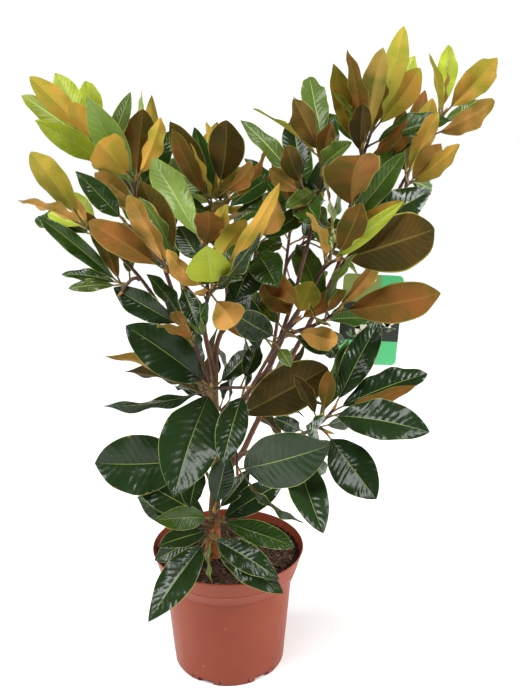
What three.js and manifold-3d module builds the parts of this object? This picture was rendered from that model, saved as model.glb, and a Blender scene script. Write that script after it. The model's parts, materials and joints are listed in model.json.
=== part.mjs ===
/**
 * A young evergreen magnolia in a 26 cm nursery pot, as a three.js scene graph.
 *
 * Millimetres, +Z up, the front of the plant towards -Y. The origin is the middle of the pot's
 * underside. Trunk, boughs, foliage masses, pot, compost and label card are separate solids with
 * AIR between them. The limbs are tapering tubes along curves. A foliage mass is one stem that
 * branches into shoots, each ending in a whorl of leaves that a seeded rule turns by the golden
 * angle. A leaf that would cross something is turned a little, and left out when it still does.
 */
import * as THREE from 'three';
import { mergeVertices } from 'three/addons/utils/BufferGeometryUtils.js';
import Module from 'manifold-3d';

const wasm = await Module();
wasm.setup();

// ---------------------------------------------------------------- driving dimensions (mm)
const AIR = 0.3; // between neighbouring solids
const SLIVER = 0.01; // facets thinner than this are tidied away
const SEED = 26;

const POT = {
  rim: 130, // outer radii
  bandFoot: 116,
  wallTop: 110.5,
  foot: 97,
  height: 216,
  bandHeight: 46,
  wall: 2.4,
  lip: 1.6, // rounding of the rim
  base: 80, // radius of the flat middle of the underside
  channel: 8, // height of the drain channel round it
  skirt: 4, // thickness of the ring outside the channel
  notches: 6,
  notchWidth: 28,
  notchTurn: 37, // degrees from the front to the first notch
  facets: 32,
};
const COMPOST = { edge: 203, top: 208, plateau: 70 };
const CARD = { width: 100, height: 155, thick: 1.2, corner: 9, hole: 4, holeDrop: 9, lean: 3 };
const CARD_HOLE = [243, 60, 669];
const TIE = { radius: 0.9, halfWidth: 17, top: 756, shift: 3 };

const TRUNK = { foot: 10.5, fork: 6.4, flare: 5.5, flareHeight: 26, sides: 10, rings: 9 };
const TRUNK_LINE = [
  [-25, -25, COMPOST.top + AIR],
  [-22, -19, 290],
  [-17, -10, 400],
  [-20, -3, 480],
  [-19, 0, 532],
];

// Boughs: what each grows from, how far along it (0 foot, 1 tip), its radii and its bends.
const BOUGHS = [
  { name: 'bough_left_upper', from: 'trunk', at: 0.81, foot: 4.6, tip: 3,
    bends: [[-30, 8, 498], [-58, 30, 555], [-90, 50, 654], [-116, 45, 742]] },
  { name: 'bough_left_middle', from: 'bough_left_upper', at: 0.42, foot: 3.4, tip: 2.6,
    bends: [[-86, 8, 596], [-104, -8, 640]] },
  { name: 'bough_left_front', from: 'trunk', at: 0.97, foot: 4.6, tip: 3,
    bends: [[-33, -10, 597], [-36, -25, 640], [-58, -62, 684]] },
  { name: 'bough_centre_front', from: 'bough_left_front', at: 0.62, foot: 3.4, tip: 2.6,
    bends: [[-28, -62, 652]] },
  { name: 'bough_centre', from: 'trunk', at: 0.97, foot: 4.6, tip: 3,
    bends: [[-14, 6, 575], [2, 12, 620], [0, 8, 700]] },
  { name: 'bough_centre_right', from: 'bough_centre', at: 0.4, foot: 3.2, tip: 2.5,
    bends: [[26, -2, 640], [36, -14, 672]] },
  { name: 'bough_right', from: 'trunk', at: 0.6, foot: 5, tip: 3.2,
    bends: [[39, -30, 508], [66, -42, 545], [98, -58, 619], [118, -66, 655]] },
  { name: 'bough_right_inner', from: 'bough_right', at: 0.62, foot: 3.6, tip: 2.8,
    bends: [[104, -36, 650], [124, -28, 726]] },
  { name: 'bough_right_low_front', from: 'bough_right', at: 0.8, foot: 3.2, tip: 2.5,
    bends: [[126, -76, 622]] },
  { name: 'bough_fork_right', from: 'bough_right', at: 0.38, foot: 3, tip: 2.4,
    bends: [[60, -72, 560], [74, -84, 590]] },
  { name: 'bough_right_back', from: 'trunk', at: 0.42, foot: 5.4, tip: 3.2,
    bends: [[21, 20, 373], [47, 45, 418], [124, 80, 560], [186, 84, 690], [200, 55, 790]] },
  { name: 'bough_far_right', from: 'bough_right_back', at: 0.66, foot: 3.8, tip: 3,
    bends: [[205, 84, 706], [243, 70, 742], [262, 58, 786]] },
  { name: 'bough_right_low', from: 'trunk', at: 0.5, foot: 4.6, tip: 3,
    bends: [[2, -30, 388], [60, -58, 420], [118, -82, 452]] },
  { name: 'bough_right_lowest', from: 'bough_right_low', at: 0.45, foot: 3.2, tip: 2.5,
    bends: [[66, -76, 410]] },
  { name: 'bough_back_left', from: 'trunk', at: 0.66, foot: 4.4, tip: 2.8,
    bends: [[-44, 40, 500], [-66, 82, 580], [-82, 108, 670]] },
  { name: 'bough_back_right', from: 'bough_right_back', at: 0.3, foot: 4, tip: 2.8,
    bends: [[76, 110, 520], [92, 136, 620]] },
  { name: 'bough_back_low', from: 'trunk', at: 0.34, foot: 4, tip: 2.8,
    bends: [[-10, 30, 350], [-4, 70, 392]] },
];
const BOUGH = { sides: 6, stepsPerBend: 2 };

const SHOOT = { foot: 2.9, tip: 2.1, sides: 4, steps: 2, branching: 0.3, reach: 0.45 };
const LEAF = {
  petiole: 20,
  petioleHalf: 1.7,
  halfWidth: 0.176, // of the length
  thick: 2.2,
  fold: 0.24, // rise of the edges over the half width
  bend: 24, // degrees along the leaf
  gap: 5.5, // between leaves along the shoot
  clear: 1.2, // kept free round a leaf
  tries: 8,
};
const GOLDEN_ANGLE = 137.5;
const FRONT = new THREE.Vector3(0, -1, 0.25).normalize();
// Stations of a blade: how far along it, and the part of the half width there.
const BLADE = [
  [0.22, 0.64],
  [0.54, 1],
  [0.84, 0.64],
];

// Foliage masses: the limb each one hangs on, the space it keeps to (a ball round its first
// shoot's tip), and its shoots. A shoot has its tip, its count and length of leaves, the turn
// of its whorl and, where a leaf stands out, that leaf's own azimuth, rise, length, roll (0 with
// the upper side to the front, 180 with the underside) and, where it isn't 1, breadth.
const MASSES = [
  { name: 'foliage_left_tip', on: 'bough_left_upper', space: 280, shoots: [
    { tip: [-206, 20, 899], leaves: 9, length: 115, turn: 40, shown: [
      [228, 41, 130, 180, 0.78], [146, 54, 125, 0, 0.85], [109, 53, 120, 0, 0.95],
      [253, 42, 100, 175, 0.9], [162, 32, 160, 15, 0.6], [146, 19, 165, 30, 0.7],
      [50, 56, 130, 75, 0.5], [220, 29, 140, -10, 0.75], [95, 45, 115, 20, 0.7]] },
    { tip: [-137, 20, 834], leaves: 9, length: 130, turn: 100, shown: [
      [253, 28, 130, 180, 1.3], [328, 61, 114, 165, 0.85], [315, 76, 121, 180, 1.2],
      [238, 56, 169, 0, 0.8], [65, 69, 164, 180, 0.57], [15, 61, 122, 0, 0.92],
      [240, 30, 113, 170, 0.78]] },
  ] },
  { name: 'foliage_left_middle', on: 'bough_left_middle', space: 300, shoots: [
    { tip: [-213, -30, 772], leaves: 6, length: 130, turn: 10, shown: [
      [246, 46, 155, 180, 0.75], [236, 22, 135, 115, 0.75], [148, 14, 90, 20, 0.8],
      [187, 57, 80, 150, 0.7], [142, 7, 150, 25, 0.85], [126, 33, 120, 10, 0.7]] },
    { tip: [-161, -10, 664], leaves: 4, length: 120, turn: 70, shown: [
      [196, 68, 133, 180, 0.65], [180, 41, 170, 0, 0.5], [163, 5, 115, 30, 0.55],
      [95, 22, 80, 0, 0.8]] },
  ] },
  { name: 'foliage_left_front', on: 'bough_left_front', space: 250, shoots: [
    { tip: [-79, -110, 715], leaves: 7, length: 130, turn: 20, shown: [
      [233, 31, 165, 180, 0.72], [247, 50, 155, 172, 0.8], [251, 59, 160, 180, 0.9],
      [252, 50, 158, 60, 0.44], [149, 32, 130, 10, 0.73]] },
    { tip: [-145, -50, 777], leaves: 2, length: 125, turn: 150, shown: [
      [232, 42, 120, 0, 0.8], [165, 44, 109, 20, 0.66]] },
  ] },
  { name: 'foliage_centre_front', on: 'bough_centre_front', space: 280, shoots: [
    { tip: [-12, -145, 698], leaves: 6, length: 115, turn: 90, shown: [
      [269, 47, 95, 0, 1.9], [13, 56, 176, 150, 0.48], [233, 38, 112, 216, 0.89],
      [295, -18, 92, 180, 1.5], [297, 34, 195, 60, 0.38]] },
    { tip: [-27, -90, 751], leaves: 7, length: 120, turn: 30, shown: [
      [129, 42, 178, 5, 0.76], [297, 41, 110, 180, 0.65], [280, 41, 105, 180, 1.2],
      [271, 8, 96, 0, 1.15], [76, -12, 110, 0, 1.1], [125, 36, 95, 0, 1.16],
      [49, 41, 114, 180, 0.96]] },
  ] },
  { name: 'foliage_centre_top', on: 'bough_centre', space: 215, shoots: [
    { tip: [-6, -20, 822], leaves: 9, length: 120, turn: 30, shown: [
      [280, 50, 135, 180, 1.15], [299, 26, 115, 160, 0.8], [112, 61, 130, 160, 0.55],
      [135, 23, 149, 10, 1.03], [320, 45, 130, 140, 0.5], [51, 22, 120, 0, 0.9]] },
    { tip: [-26, 10, 804], leaves: 6, length: 130, turn: 0, shown: [
      [238, 53, 150, 180, 0.8], [236, 53, 144, 165, 0.58], [157, 77, 125, 12, 0.73],
      [247, 55, 130, 110, 0.5]] },
  ] },
  { name: 'foliage_centre_right', on: 'bough_centre_right', space: 215, shoots: [
    { tip: [50, -40, 749], leaves: 8, length: 115, turn: 60, shown: [
      [294, 41, 103, 156, 1.12], [45, 20, 130, -10, 0.75], [290, -23, 104, 0, 1.4],
      [300, -24, 130, 165, 0.8], [253, -28, 105, 0, 1.49], [301, -30, 118, 180, 0.95]] },
  ] },
  { name: 'foliage_right_inner', on: 'bough_right_inner', space: 240, shoots: [
    { tip: [149, -30, 880], leaves: 9, length: 120, turn: 80, shown: [
      [98, 44, 160, 10, 0.72], [245, 34, 140, 180, 0.8], [216, 30, 146, 70, 0.46],
      [111, 42, 150, 95, 0.5], [285, 20, 130, -15, 0.75], [280, 54, 95, 180, 0.8],
      [73, 57, 118, 0, 0.8], [244, -8, 120, 20, 0.6]] },
    { tip: [115, -50, 830], leaves: 7, length: 125, turn: 0, shown: [
      [98, 50, 125, 0], [251, 37, 110, 180, 0.85], [147, 42, 155, 10, 0.55],
      [227, 28, 95, 180, 0.8], [136, 31, 68, 0, 1.05]] },
  ] },
  { name: 'foliage_right_front', on: 'bough_right', space: 280, shoots: [
    { tip: [188, -70, 794], leaves: 7, length: 120, turn: 20, shown: [
      [269, 36, 150, 180, 1.5], [51, 24, 115, -10, 0.9], [312, 19, 110, 180, 0.5], [42, 44, 150, 0],
      [353, 53, 142, 10, 0.7], [25, 21, 168, 0, 0.91]] },
    { tip: [165, -112, 731], leaves: 6, length: 125, turn: 90, shown: [
      [283, 44, 130, 180, 0.85], [310, 20, 185, 180, 1.2], [320, 40, 146, 0, 0.43],
      [95, 55, 146, 75, 0.58], [251, 36, 152, 120, 0.4], [96, 30, 182, 36, 0.57]] },
  ] },
  { name: 'foliage_right_low_front', on: 'bough_right_low_front', space: 215, shoots: [
    { tip: [170, -90, 651], leaves: 6, length: 130, turn: 140, shown: [
      [322, 17, 172, 180, 0.95], [314, 50, 146, 145, 0.46], [104, 26, 190, 0, 0.66],
      [301, 57, 130, -60, 0.45]] },
  ] },
  { name: 'foliage_fork_right', on: 'bough_fork_right', space: 215, shoots: [
    { tip: [108, -100, 637], leaves: 7, length: 115, turn: 10, shown: [
      [340, 68, 70, 180, 1.74], [356, 35, 95, 204, 0.93], [307, 1, 105, 180, 0.95],
      [116, 13, 139, 20, 0.69], [32, -12, 120, 10, 0.7], [227, 31, 118, -12, 1.06],
      [289, -18, 62, 0, 0.95]] },
  ] },
  { name: 'foliage_top', on: 'bough_right_back', space: 230, shoots: [
    { tip: [225, 0, 916], leaves: 8, length: 120, turn: 0, shown: [
      [283, 52, 165, 165, 0.6], [26, 56, 130, 5, 0.85], [303, 42, 133, 180, 0.84],
      [272, 53, 145, 110, 0.4], [224, 41, 110, 40, 0.55]] },
    { tip: [209, -5, 883], leaves: 7, length: 125, turn: 60, shown: [
      [275, 51, 173, 180, 0.57], [250, 51, 175, 138, 0.48], [229, 58, 149, 175, 0.68],
      [117, 61, 130, 0, 0.8], [263, 39, 130, 180, 0.76], [337, 33, 99, 150, 0.72],
      [312, 40, 117, 160, 0.52]] },
  ] },
  { name: 'foliage_far_right', on: 'bough_far_right', space: 300, shoots: [
    { tip: [341, 50, 933], leaves: 6, length: 120, turn: 20, shown: [
      [289, 30, 150, 180, 0.8], [74, 60, 130, 0, 0.7], [247, 42, 140, 100, 0.45],
      [273, 63, 95, 100, 0.3], [27, 28, 100, -20, 0.55], [290, 17, 165, 160, 0.7]] },
    { tip: [280, 20, 818], leaves: 8, length: 125, turn: 75, shown: [
      [306, 46, 97, 180, 1.05], [293, 27, 147, 141, 0.71], [141, 84, 116, 180, 1.03],
      [11, 74, 130, 158, 0.92], [278, 39, 164, 187, 0.5], [44, -14, 80, -10, 0.8],
      [49, -14, 90, 0, 0.9], [54, 67, 150, 170, 0.6]] },
  ] },
  { name: 'foliage_right_low', on: 'bough_right_low', space: 215, shoots: [
    { tip: [166, -110, 505], leaves: 7, length: 140, turn: 10, shown: [
      [42, 50, 160, 0, 0.85], [19, 15, 170, -30, 0.85], [321, 5, 170, -20],
      [339, 27, 150, 150, 0.45], [280, 72, 95, 170, 0.75], [213, 61, 100, 150, 0.75],
      [30, 66, 145, 20, 0.6]] },
    { tip: [156, -100, 465], leaves: 4, length: 140, turn: 100, shown: [[303, -27, 140, 0, 1.32]] },
  ] },
  { name: 'foliage_right_lowest', on: 'bough_right_lowest', space: 215, shoots: [
    { tip: [114, -96, 440], leaves: 3, length: 140, turn: 30, shown: [
      [51, -42, 110, 0, 0.8], [282, -19, 175, 0, 0.87]] },
  ] },
  { name: 'foliage_trunk_middle', on: 'trunk', at: 0.88, space: 260, shoots: [
    { tip: [-21, -45, 519], leaves: 5, length: 140, turn: 200, shown: [
      [254, -33, 203, 0, 1.27], [179, 37, 167, 10, 1.25], [193, -5, 176, -55, 0.6],
      [59, 19, 115, 0, 0.85], [185, 20, 180, 150, 0.4]] },
    { tip: [33, -62, 522], leaves: 2, length: 120, turn: 300, shown: [
      [255, -34, 140, 0, 0.95], [68, 39, 88, 0]] },
    { tip: [-60, -30, 611], leaves: 5, length: 115, turn: 150, shown: [
      [165, 26, 136, -5, 0.92], [221, 54, 125, 50, 0.8], [250, 42, 78, 177, 0.76],
      [292, 45, 112, 0, 0.7]] },
  ] },
  { name: 'foliage_trunk_low', on: 'trunk', at: 0.35, space: 215, shoots: [
    { tip: [-43, -36, 392], leaves: 4, length: 130, turn: 60, shown: [
      [178, -3, 175, 10, 1.6], [264, -15, 110, 20]] },
  ] },
  { name: 'foliage_foot', on: 'trunk', at: 0.1, space: 250, shoots: [
    { tip: [-20, -65, 310], leaves: 8, length: 120, turn: 330, shown: [
      [358, 78, 105, 0, 1.15], [60, 17, 120, 0, 0.7], [217, 15, 115, 15, 0.95],
      [349, -15, 140, -25, 0.8], [175, 30, 155, 10, 1.05], [31, 17, 145, -10, 0.9]] },
    { tip: [-34, -62, 258], leaves: 6, length: 140, turn: 190, shown: [
      [243, -17, 180, 5, 0.85], [321, -9, 150, -20, 0.85], [321, -19, 162, -5, 0.87],
      [190, -25, 107, 10], [270, -40, 89, 60, 0.5]] },
  ] },
  { name: 'foliage_back_left', on: 'bough_back_left', space: 230, shoots: [
    { tip: [-130, 120, 762], leaves: 9, length: 140, turn: 15, shown: [] },
    { tip: [-60, 150, 800], leaves: 9, length: 130, turn: 140, shown: [] },
  ] },
  { name: 'foliage_back_right', on: 'bough_back_right', space: 230, shoots: [
    { tip: [110, 150, 770], leaves: 9, length: 140, turn: 25, shown: [] },
    { tip: [180, 150, 740], leaves: 9, length: 135, turn: 125, shown: [] },
  ] },
  { name: 'foliage_back_low', on: 'bough_back_low', space: 230, shoots: [
    { tip: [-50, 120, 456], leaves: 8, length: 145, turn: 45, shown: [] },
    { tip: [60, 130, 440], leaves: 9, length: 140, turn: 95, shown: [] },
  ] },
  { name: 'foliage_trunk_right', on: 'trunk', at: 0.74, space: 300, shoots: [
    { tip: [12, -52, 465], leaves: 1, length: 130, turn: 250, shown: [[337, 34, 190, 180, 1.15]] },
    { tip: [20, -114, 404], leaves: 2, length: 130, turn: 70, shown: [
      [319, 27, 194, 0, 1.2], [316, -18, 145, 60, 0.6]] },
  ] },
];

// ---------------------------------------------------------------- finishes
const finish = (color, roughness) => new THREE.MeshStandardMaterial({ color, roughness, metalness: 0 });
const FINISH = {
  pot: finish('#a5573f', 0.45),
  compost: finish('#3a2c24', 0.95),
  bark: finish('#6b4a33', 0.8),
  twig: finish('#7a4a34', 0.6),
  leaf: finish('#2c4a24', 0.35),
  card: finish('#4fb873', 0.4),
  tie: finish('#eeeae0', 0.5),
};

// ---------------------------------------------------------------- seeded chance
/** A number from 0 to 1 that is always the same for the same whole-number keys. */
function chance(...keys) {
  let mixed = SEED;
  for (const key of keys) {
    mixed = Math.imul(mixed ^ (key + 0x9e3779b9), 0x85ebca6b);
    mixed ^= mixed >>> 13;
    mixed = Math.imul(mixed, 0xc2b2ae35);
    mixed ^= mixed >>> 16;
  }
  return (mixed >>> 0) / 2 ** 32;
}

/** A number spread evenly around zero, at most `reach` from it. */
const swing = (reach, ...keys) => (chance(...keys) * 2 - 1) * reach;

// ---------------------------------------------------------------- solids and meshes
const vec = (point) => new THREE.Vector3(...point);
const radians = THREE.MathUtils.degToRad;

/** Turns a closed three.js geometry into a solid. */
function solidOf(geometry) {
  geometry.deleteAttribute('normal');
  geometry.deleteAttribute('uv');
  const merged = mergeVertices(geometry);
  return new wasm.Manifold(new wasm.Mesh({
    numProp: 3,
    vertProperties: new Float32Array(merged.attributes.position.array),
    triVerts: new Uint32Array(merged.index.array),
  }));
}

/** The three.js geometry of a solid. */
function geometryOf(solid) {
  const { vertProperties, triVerts } = solid.getMesh();
  const geometry = new THREE.BufferGeometry();
  geometry.setAttribute('position', new THREE.BufferAttribute(vertProperties, 3));
  geometry.setIndex(new THREE.BufferAttribute(triVerts, 1));
  return geometry;
}

/** Keeps the outer body of a solid: loose scraps go and sealed hollows are filled. */
function outerBody(solid) {
  const largest = (whole) => whole.decompose()
    .reduce((best, body) => (body.volume() > best.volume() ? body : best));
  return largest(solidOf(geometryOf(largest(solid.simplify(SLIVER)))));
}

/** A named mesh of a solid. */
function meshOf(name, solid, material) {
  const geometry = geometryOf(solid);
  geometry.computeVertexNormals();
  const mesh = new THREE.Mesh(geometry, material);
  mesh.name = name;
  return mesh;
}

/** Moves every vertex of a geometry to where `place` puts it. */
function reshape(geometry, place) {
  const position = geometry.attributes.position;
  for (let i = 0; i < position.count; i += 1) {
    const moved = place(position.getX(i), position.getY(i), position.getZ(i), i);
    position.setXYZ(i, moved.x, moved.y, moved.z);
  }
  return geometry;
}

// ---------------------------------------------------------------- pot, compost and label
/** Inner radius of the pot at a height, above its floor. */
function potInside(z) {
  const bandBottom = POT.height - POT.bandHeight;
  if (z > bandBottom) {
    const up = (z - bandBottom) / POT.bandHeight;
    return POT.bandFoot + (POT.rim - POT.bandFoot) * up - POT.wall;
  }
  return POT.foot + ((POT.wallTop - POT.foot) * z) / bandBottom - POT.wall;
}

/** A profile of [radius, height] points turned round the plant's upright axis. */
function turned(profile) {
  const points = profile.map(([radius, height]) => new THREE.Vector2(radius, height));
  return new THREE.LatheGeometry(points, POT.facets).rotateX(Math.PI / 2);
}

/** The pot: a tapering wall, a flared rim band, and a foot ring notched for drainage. */
function potSolid() {
  const { rim, bandFoot, wallTop, foot, height, wall, lip, base, channel, skirt } = POT;
  const bandBottom = height - POT.bandHeight;
  const floorTop = channel + wall;
  let solid = solidOf(turned([
    [0, 0],
    [base, 0],
    [base + 1, channel],
    [foot - skirt, channel],
    [foot - skirt, 0],
    [foot - 1.5, 0],
    [foot, 3],
    [wallTop, bandBottom - 4],
    [bandFoot, bandBottom],
    [rim, height - lip],
    [rim - lip / 2, height],
    [rim - wall, height],
    [potInside(bandBottom + 1), bandBottom + 1],
    [potInside(bandBottom - 5), bandBottom - 5],
    [potInside(floorTop), floorTop],
    [base - 1, floorTop],
    [base - 3, wall],
    [0, wall],
  ]));
  for (let i = 0; i < POT.notches; i += 1) {
    const turn = radians(POT.notchTurn + (360 / POT.notches) * i);
    const tall = new THREE.BoxGeometry(POT.notchWidth, 2.5 * skirt, channel * 2);
    const wide = new THREE.BoxGeometry(POT.notchWidth * 1.6, 2.5 * skirt, channel / 2);
    for (const notch of [tall, wide]) {
      solid = solid.subtract(solidOf(notch.translate(0, -foot, 0).rotateZ(turn)));
    }
  }
  return solid;
}

/** The compost: it fills the pot to just under the rim and is flat where the trunk stands. */
function compostSolid() {
  const bandBottom = POT.height - POT.bandHeight;
  const floorTop = POT.channel + POT.wall + AIR;
  const inside = (z) => potInside(z) - 2 * AIR;
  return solidOf(turned([
    [0, POT.wall + AIR],
    [POT.base - 4, POT.wall + AIR],
    [POT.base - 2, floorTop],
    [inside(floorTop), floorTop],
    [inside(bandBottom - 5), bandBottom - 4],
    [inside(bandBottom + 2) - 1, bandBottom + 2],
    [inside(COMPOST.edge) - 1, COMPOST.edge],
    [COMPOST.plateau, COMPOST.top],
    [0, COMPOST.top],
  ]));
}

/** A rounded card hanging from its hole, a little out of plumb. */
function cardSolid() {
  const { width, height, thick, corner, hole, holeDrop, lean } = CARD;
  const [side, top, bottom] = [width / 2 - corner, holeDrop - corner, holeDrop - height + corner];
  const shape = new THREE.Shape();
  shape.absarc(side, top, corner, 0, Math.PI / 2);
  shape.absarc(-side, top, corner, Math.PI / 2, Math.PI);
  shape.absarc(-side, bottom, corner, Math.PI, Math.PI * 1.5);
  shape.absarc(side, bottom, corner, Math.PI * 1.5, Math.PI * 2);
  shape.holes.push(new THREE.Path().absarc(0, 0, hole, 0, Math.PI * 2, true));
  const plate = new THREE.ExtrudeGeometry(shape, { depth: thick, bevelEnabled: false, curveSegments: 4 });
  plate.translate(0, 0, -thick / 2).rotateZ(radians(-lean)).rotateX(Math.PI / 2);
  return solidOf(plate.translate(...CARD_HOLE));
}

/** A closed loop of thin tie, through the card's hole and over the bough above it. */
function tieSolid() {
  const [x, y, z] = CARD_HOLE;
  const halfHeight = (TIE.top - z) / 2;
  const loop = new THREE.TorusGeometry(TIE.halfWidth, TIE.radius, 4, 20).rotateY(Math.PI / 2);
  return solidOf(reshape(loop, (u, v, w) => {
    const stretch = (v / Math.hypot(v, w)) * (halfHeight - TIE.halfWidth);
    return new THREE.Vector3(x + u, y + TIE.shift - w, z + halfHeight + v + stretch);
  }));
}

// ---------------------------------------------------------------- limbs
/**
 * A tapering tube along a curve, with flat ends.
 * `radiusAt` gives the radius from 0 (foot) to 1 (tip); `upright` keeps every ring level.
 */
function limbSolid(curve, radiusAt, sides, steps, upright = false) {
  const frames = curve.computeFrenetFrames(steps, false);
  const tube = new THREE.CylinderGeometry(1, 1, 1, sides, steps);
  return solidOf(reshape(tube, (x, y, z) => {
    const along = 0.5 - y;
    const step = Math.round(along * steps);
    const across = upright ? new THREE.Vector3(1, 0, 0) : frames.normals[step];
    const over = upright ? new THREE.Vector3(0, 1, 0) : frames.binormals[step];
    const radius = radiusAt(along);
    const centre = curve.getPointAt(along);
    return centre.addScaledVector(across, x * radius).addScaledVector(over, z * radius);
  }));
}

const taper = (foot, tip) => (along) => foot + (tip - foot) * along;

/** The trunk's radius: an even taper, and a root flare that dies away above the foot. */
function trunkRadius(along) {
  const climb = along * (TRUNK_LINE.at(-1)[2] - TRUNK_LINE[0][2]);
  return taper(TRUNK.foot, TRUNK.fork)(along) + TRUNK.flare * Math.exp(-climb / TRUNK.flareHeight);
}

/** The trunk and boughs by name: curve, solid, and the grown solid that cuts what meets it. */
function growLimbs() {
  const limbs = new Map();
  const line = new THREE.CatmullRomCurve3(TRUNK_LINE.map(vec));
  const growTrunk = (more) => limbSolid(
    line, (along) => trunkRadius(along) + more, TRUNK.sides, TRUNK.rings, true);
  limbs.set('trunk', { curve: line, solid: growTrunk(0), cutter: growTrunk(AIR * 1.3) });
  for (const bough of BOUGHS) {
    const start = limbs.get(bough.from).curve.getPointAt(bough.at);
    const curve = new THREE.CatmullRomCurve3([start, ...bough.bends.map(vec)]);
    const steps = 1 + bough.bends.length * BOUGH.stepsPerBend;
    const grow = (more) => limbSolid(curve, taper(bough.foot + more, bough.tip + more), BOUGH.sides, steps);
    let solid = grow(0);
    for (const older of limbs.values()) {
      solid = solid.subtract(older.cutter);
    }
    limbs.set(bough.name, { curve, solid: outerBody(solid), cutter: grow(AIR * 1.3) });
  }
  return limbs;
}

// ---------------------------------------------------------------- leaves
/** Unit vector for an azimuth (0 along +X, 90 along +Y) and a rise above level, in degrees. */
function heading(azimuth, rise) {
  const level = Math.cos(radians(rise));
  return new THREE.Vector3(
    Math.cos(radians(azimuth)) * level, Math.sin(radians(azimuth)) * level, Math.sin(radians(rise)));
}

/** The part of a direction that is square to a unit vector, as a unit vector. */
const squareTo = (along, direction) => direction.clone()
  .addScaledVector(along, -direction.dot(along)).normalize();

/**
 * A leaf: stalk and folded blade along an arc from `root` to `root + along * length`, the upper
 * side facing `up`. Its four meridians are the two edges, the upper ridge and the keel.
 * With `more` it is fattened by that much, and `bladeOnly` leaves the stalk's stretch out.
 */
function leafSolid(leaf, more = 0, bladeOnly = false) {
  const { root, along, up, length } = leaf;
  const side = new THREE.Vector3().crossVectors(up, along);
  const bend = radians(leaf.bend);
  const radius = length / 2 / Math.sin(bend / 2);
  const stalk = LEAF.petiole / length;
  const start = bladeOnly ? stalk * 1.4 : 0;
  const half = LEAF.halfWidth * length * leaf.broad;
  const thick = Math.max(LEAF.thick, length / 75);
  const stations = [
    [start, 0, 0],
    [bladeOnly ? start + 0.03 : stalk, LEAF.petioleHalf, LEAF.petioleHalf],
    ...BLADE.map(([at, part]) => [stalk + (1 - stalk) * at, half * part, thick / 2]),
    [1, 0, 0],
  ];
  const ball = new THREE.SphereGeometry(1, 4, stations.length - 1);
  return solidOf(reshape(ball, (x, y, z, index) => {
    const ring = Math.floor(index / 5);
    const meridian = index % 5;
    const [at, width, depth] = stations[ring];
    const angle = (at - 0.5) * bend;
    const forward = radius * (Math.sin(angle) + Math.sin(bend / 2));
    const lift = radius * (Math.cos(angle) - Math.cos(bend / 2));
    const outward = [-1, 0, 1, 0, -1][meridian];
    const above = [0, 1, 0, -1, 0][meridian];
    const open = width > 0 ? 1 : 0;
    const across = open * outward * (width + more);
    const raised = open * above * (depth + more) + Math.abs(outward) * width * leaf.fold;
    const spot = root.clone().addScaledVector(along, forward + Math.sin(angle) * raised);
    return spot.addScaledVector(up, lift + Math.cos(angle) * raised).addScaledVector(side, across);
  }));
}

/** A try at a leaf that stands out: its given heading and roll, nudged more at each try. */
function shownLeaf(shown, keys, attempt) {
  const [azimuth, rise, length, roll, broad = 1] = shown;
  const nudge = 4 * attempt;
  const toSide = azimuth + swing(nudge, ...keys, attempt, 1);
  const along = heading(toSide, rise + swing(nudge, ...keys, attempt, 2));
  const up = squareTo(along, FRONT).applyAxisAngle(along, radians(roll + swing(6, ...keys, 4)));
  return { along, up, length: length * (1 - attempt * 0.02), broad };
}

/** A try at a leaf of the whorl: it opens more the lower it sits, and turns on at each try. */
function whorlLeaf(row, index, axis, keys, attempt) {
  const low = index / Math.max(1, row.leaves - 1);
  const tilt = radians(26 + 52 * low + swing(8 + attempt * 3, ...keys, attempt, 1));
  const turn = radians(row.turn + index * GOLDEN_ANGLE + attempt * 47 + swing(14, ...keys, attempt, 2));
  const east = new THREE.Vector3(0, 0, 1).cross(axis).normalize();
  const north = new THREE.Vector3().crossVectors(axis, east);
  const along = axis.clone().multiplyScalar(Math.cos(tilt));
  along.addScaledVector(east, Math.sin(tilt) * Math.cos(turn));
  along.addScaledVector(north, Math.sin(tilt) * Math.sin(turn));
  const up = squareTo(along, axis).applyAxisAngle(along, radians(swing(20, ...keys, 4)));
  const length = row.length * (0.86 + 0.22 * chance(...keys, 3)) * (1 - attempt * 0.03);
  return { along, up, length, broad: 1 + swing(0.12, ...keys, 5) };
}

/** One try at the leaf number `index` of a shoot. */
function leafAt(shoot, index, attempt) {
  const { curve, chords, row, key } = shoot;
  const back = 3 + LEAF.gap * index * (1 + index * 0.06);
  const root = chords.getPoint(Math.max(0, 1 - back / chords.getLength()));
  const axis = curve.getTangentAt(1).add(new THREE.Vector3(0, 0, 0.4)).normalize();
  const keys = [key, index];
  const leaf = index < row.shown.length
    ? shownLeaf(row.shown[index], keys, attempt)
    : whorlLeaf(row, index, axis, keys, attempt);
  return { ...leaf, root, fold: LEAF.fold + swing(0.1, ...keys, 6), bend: LEAF.bend + swing(14, ...keys, 7) };
}

// ---------------------------------------------------------------- foliage masses
const overlaps = (a, b) => [0, 1, 2].every((k) => a.min[k] < b.max[k] && b.min[k] < a.max[k]);

/** Whether a solid stays clear of every solid in a list. */
function isClear(solid, others) {
  const bounds = solid.boundingBox();
  return others.every((other) => !overlaps(bounds, other.bounds) || solid.intersect(other.solid).isEmpty());
}

const standing = (solid) => ({ solid, bounds: solid.boundingBox() });

/** The chords of a curve, which a faceted limb's axis follows. */
function chordsOf(curve, steps) {
  const chords = new THREE.CurvePath();
  const points = curve.getSpacedPoints(steps);
  for (let step = 0; step < steps; step += 1) {
    chords.add(new THREE.LineCurve3(points[step], points[step + 1]));
  }
  return chords;
}

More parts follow.
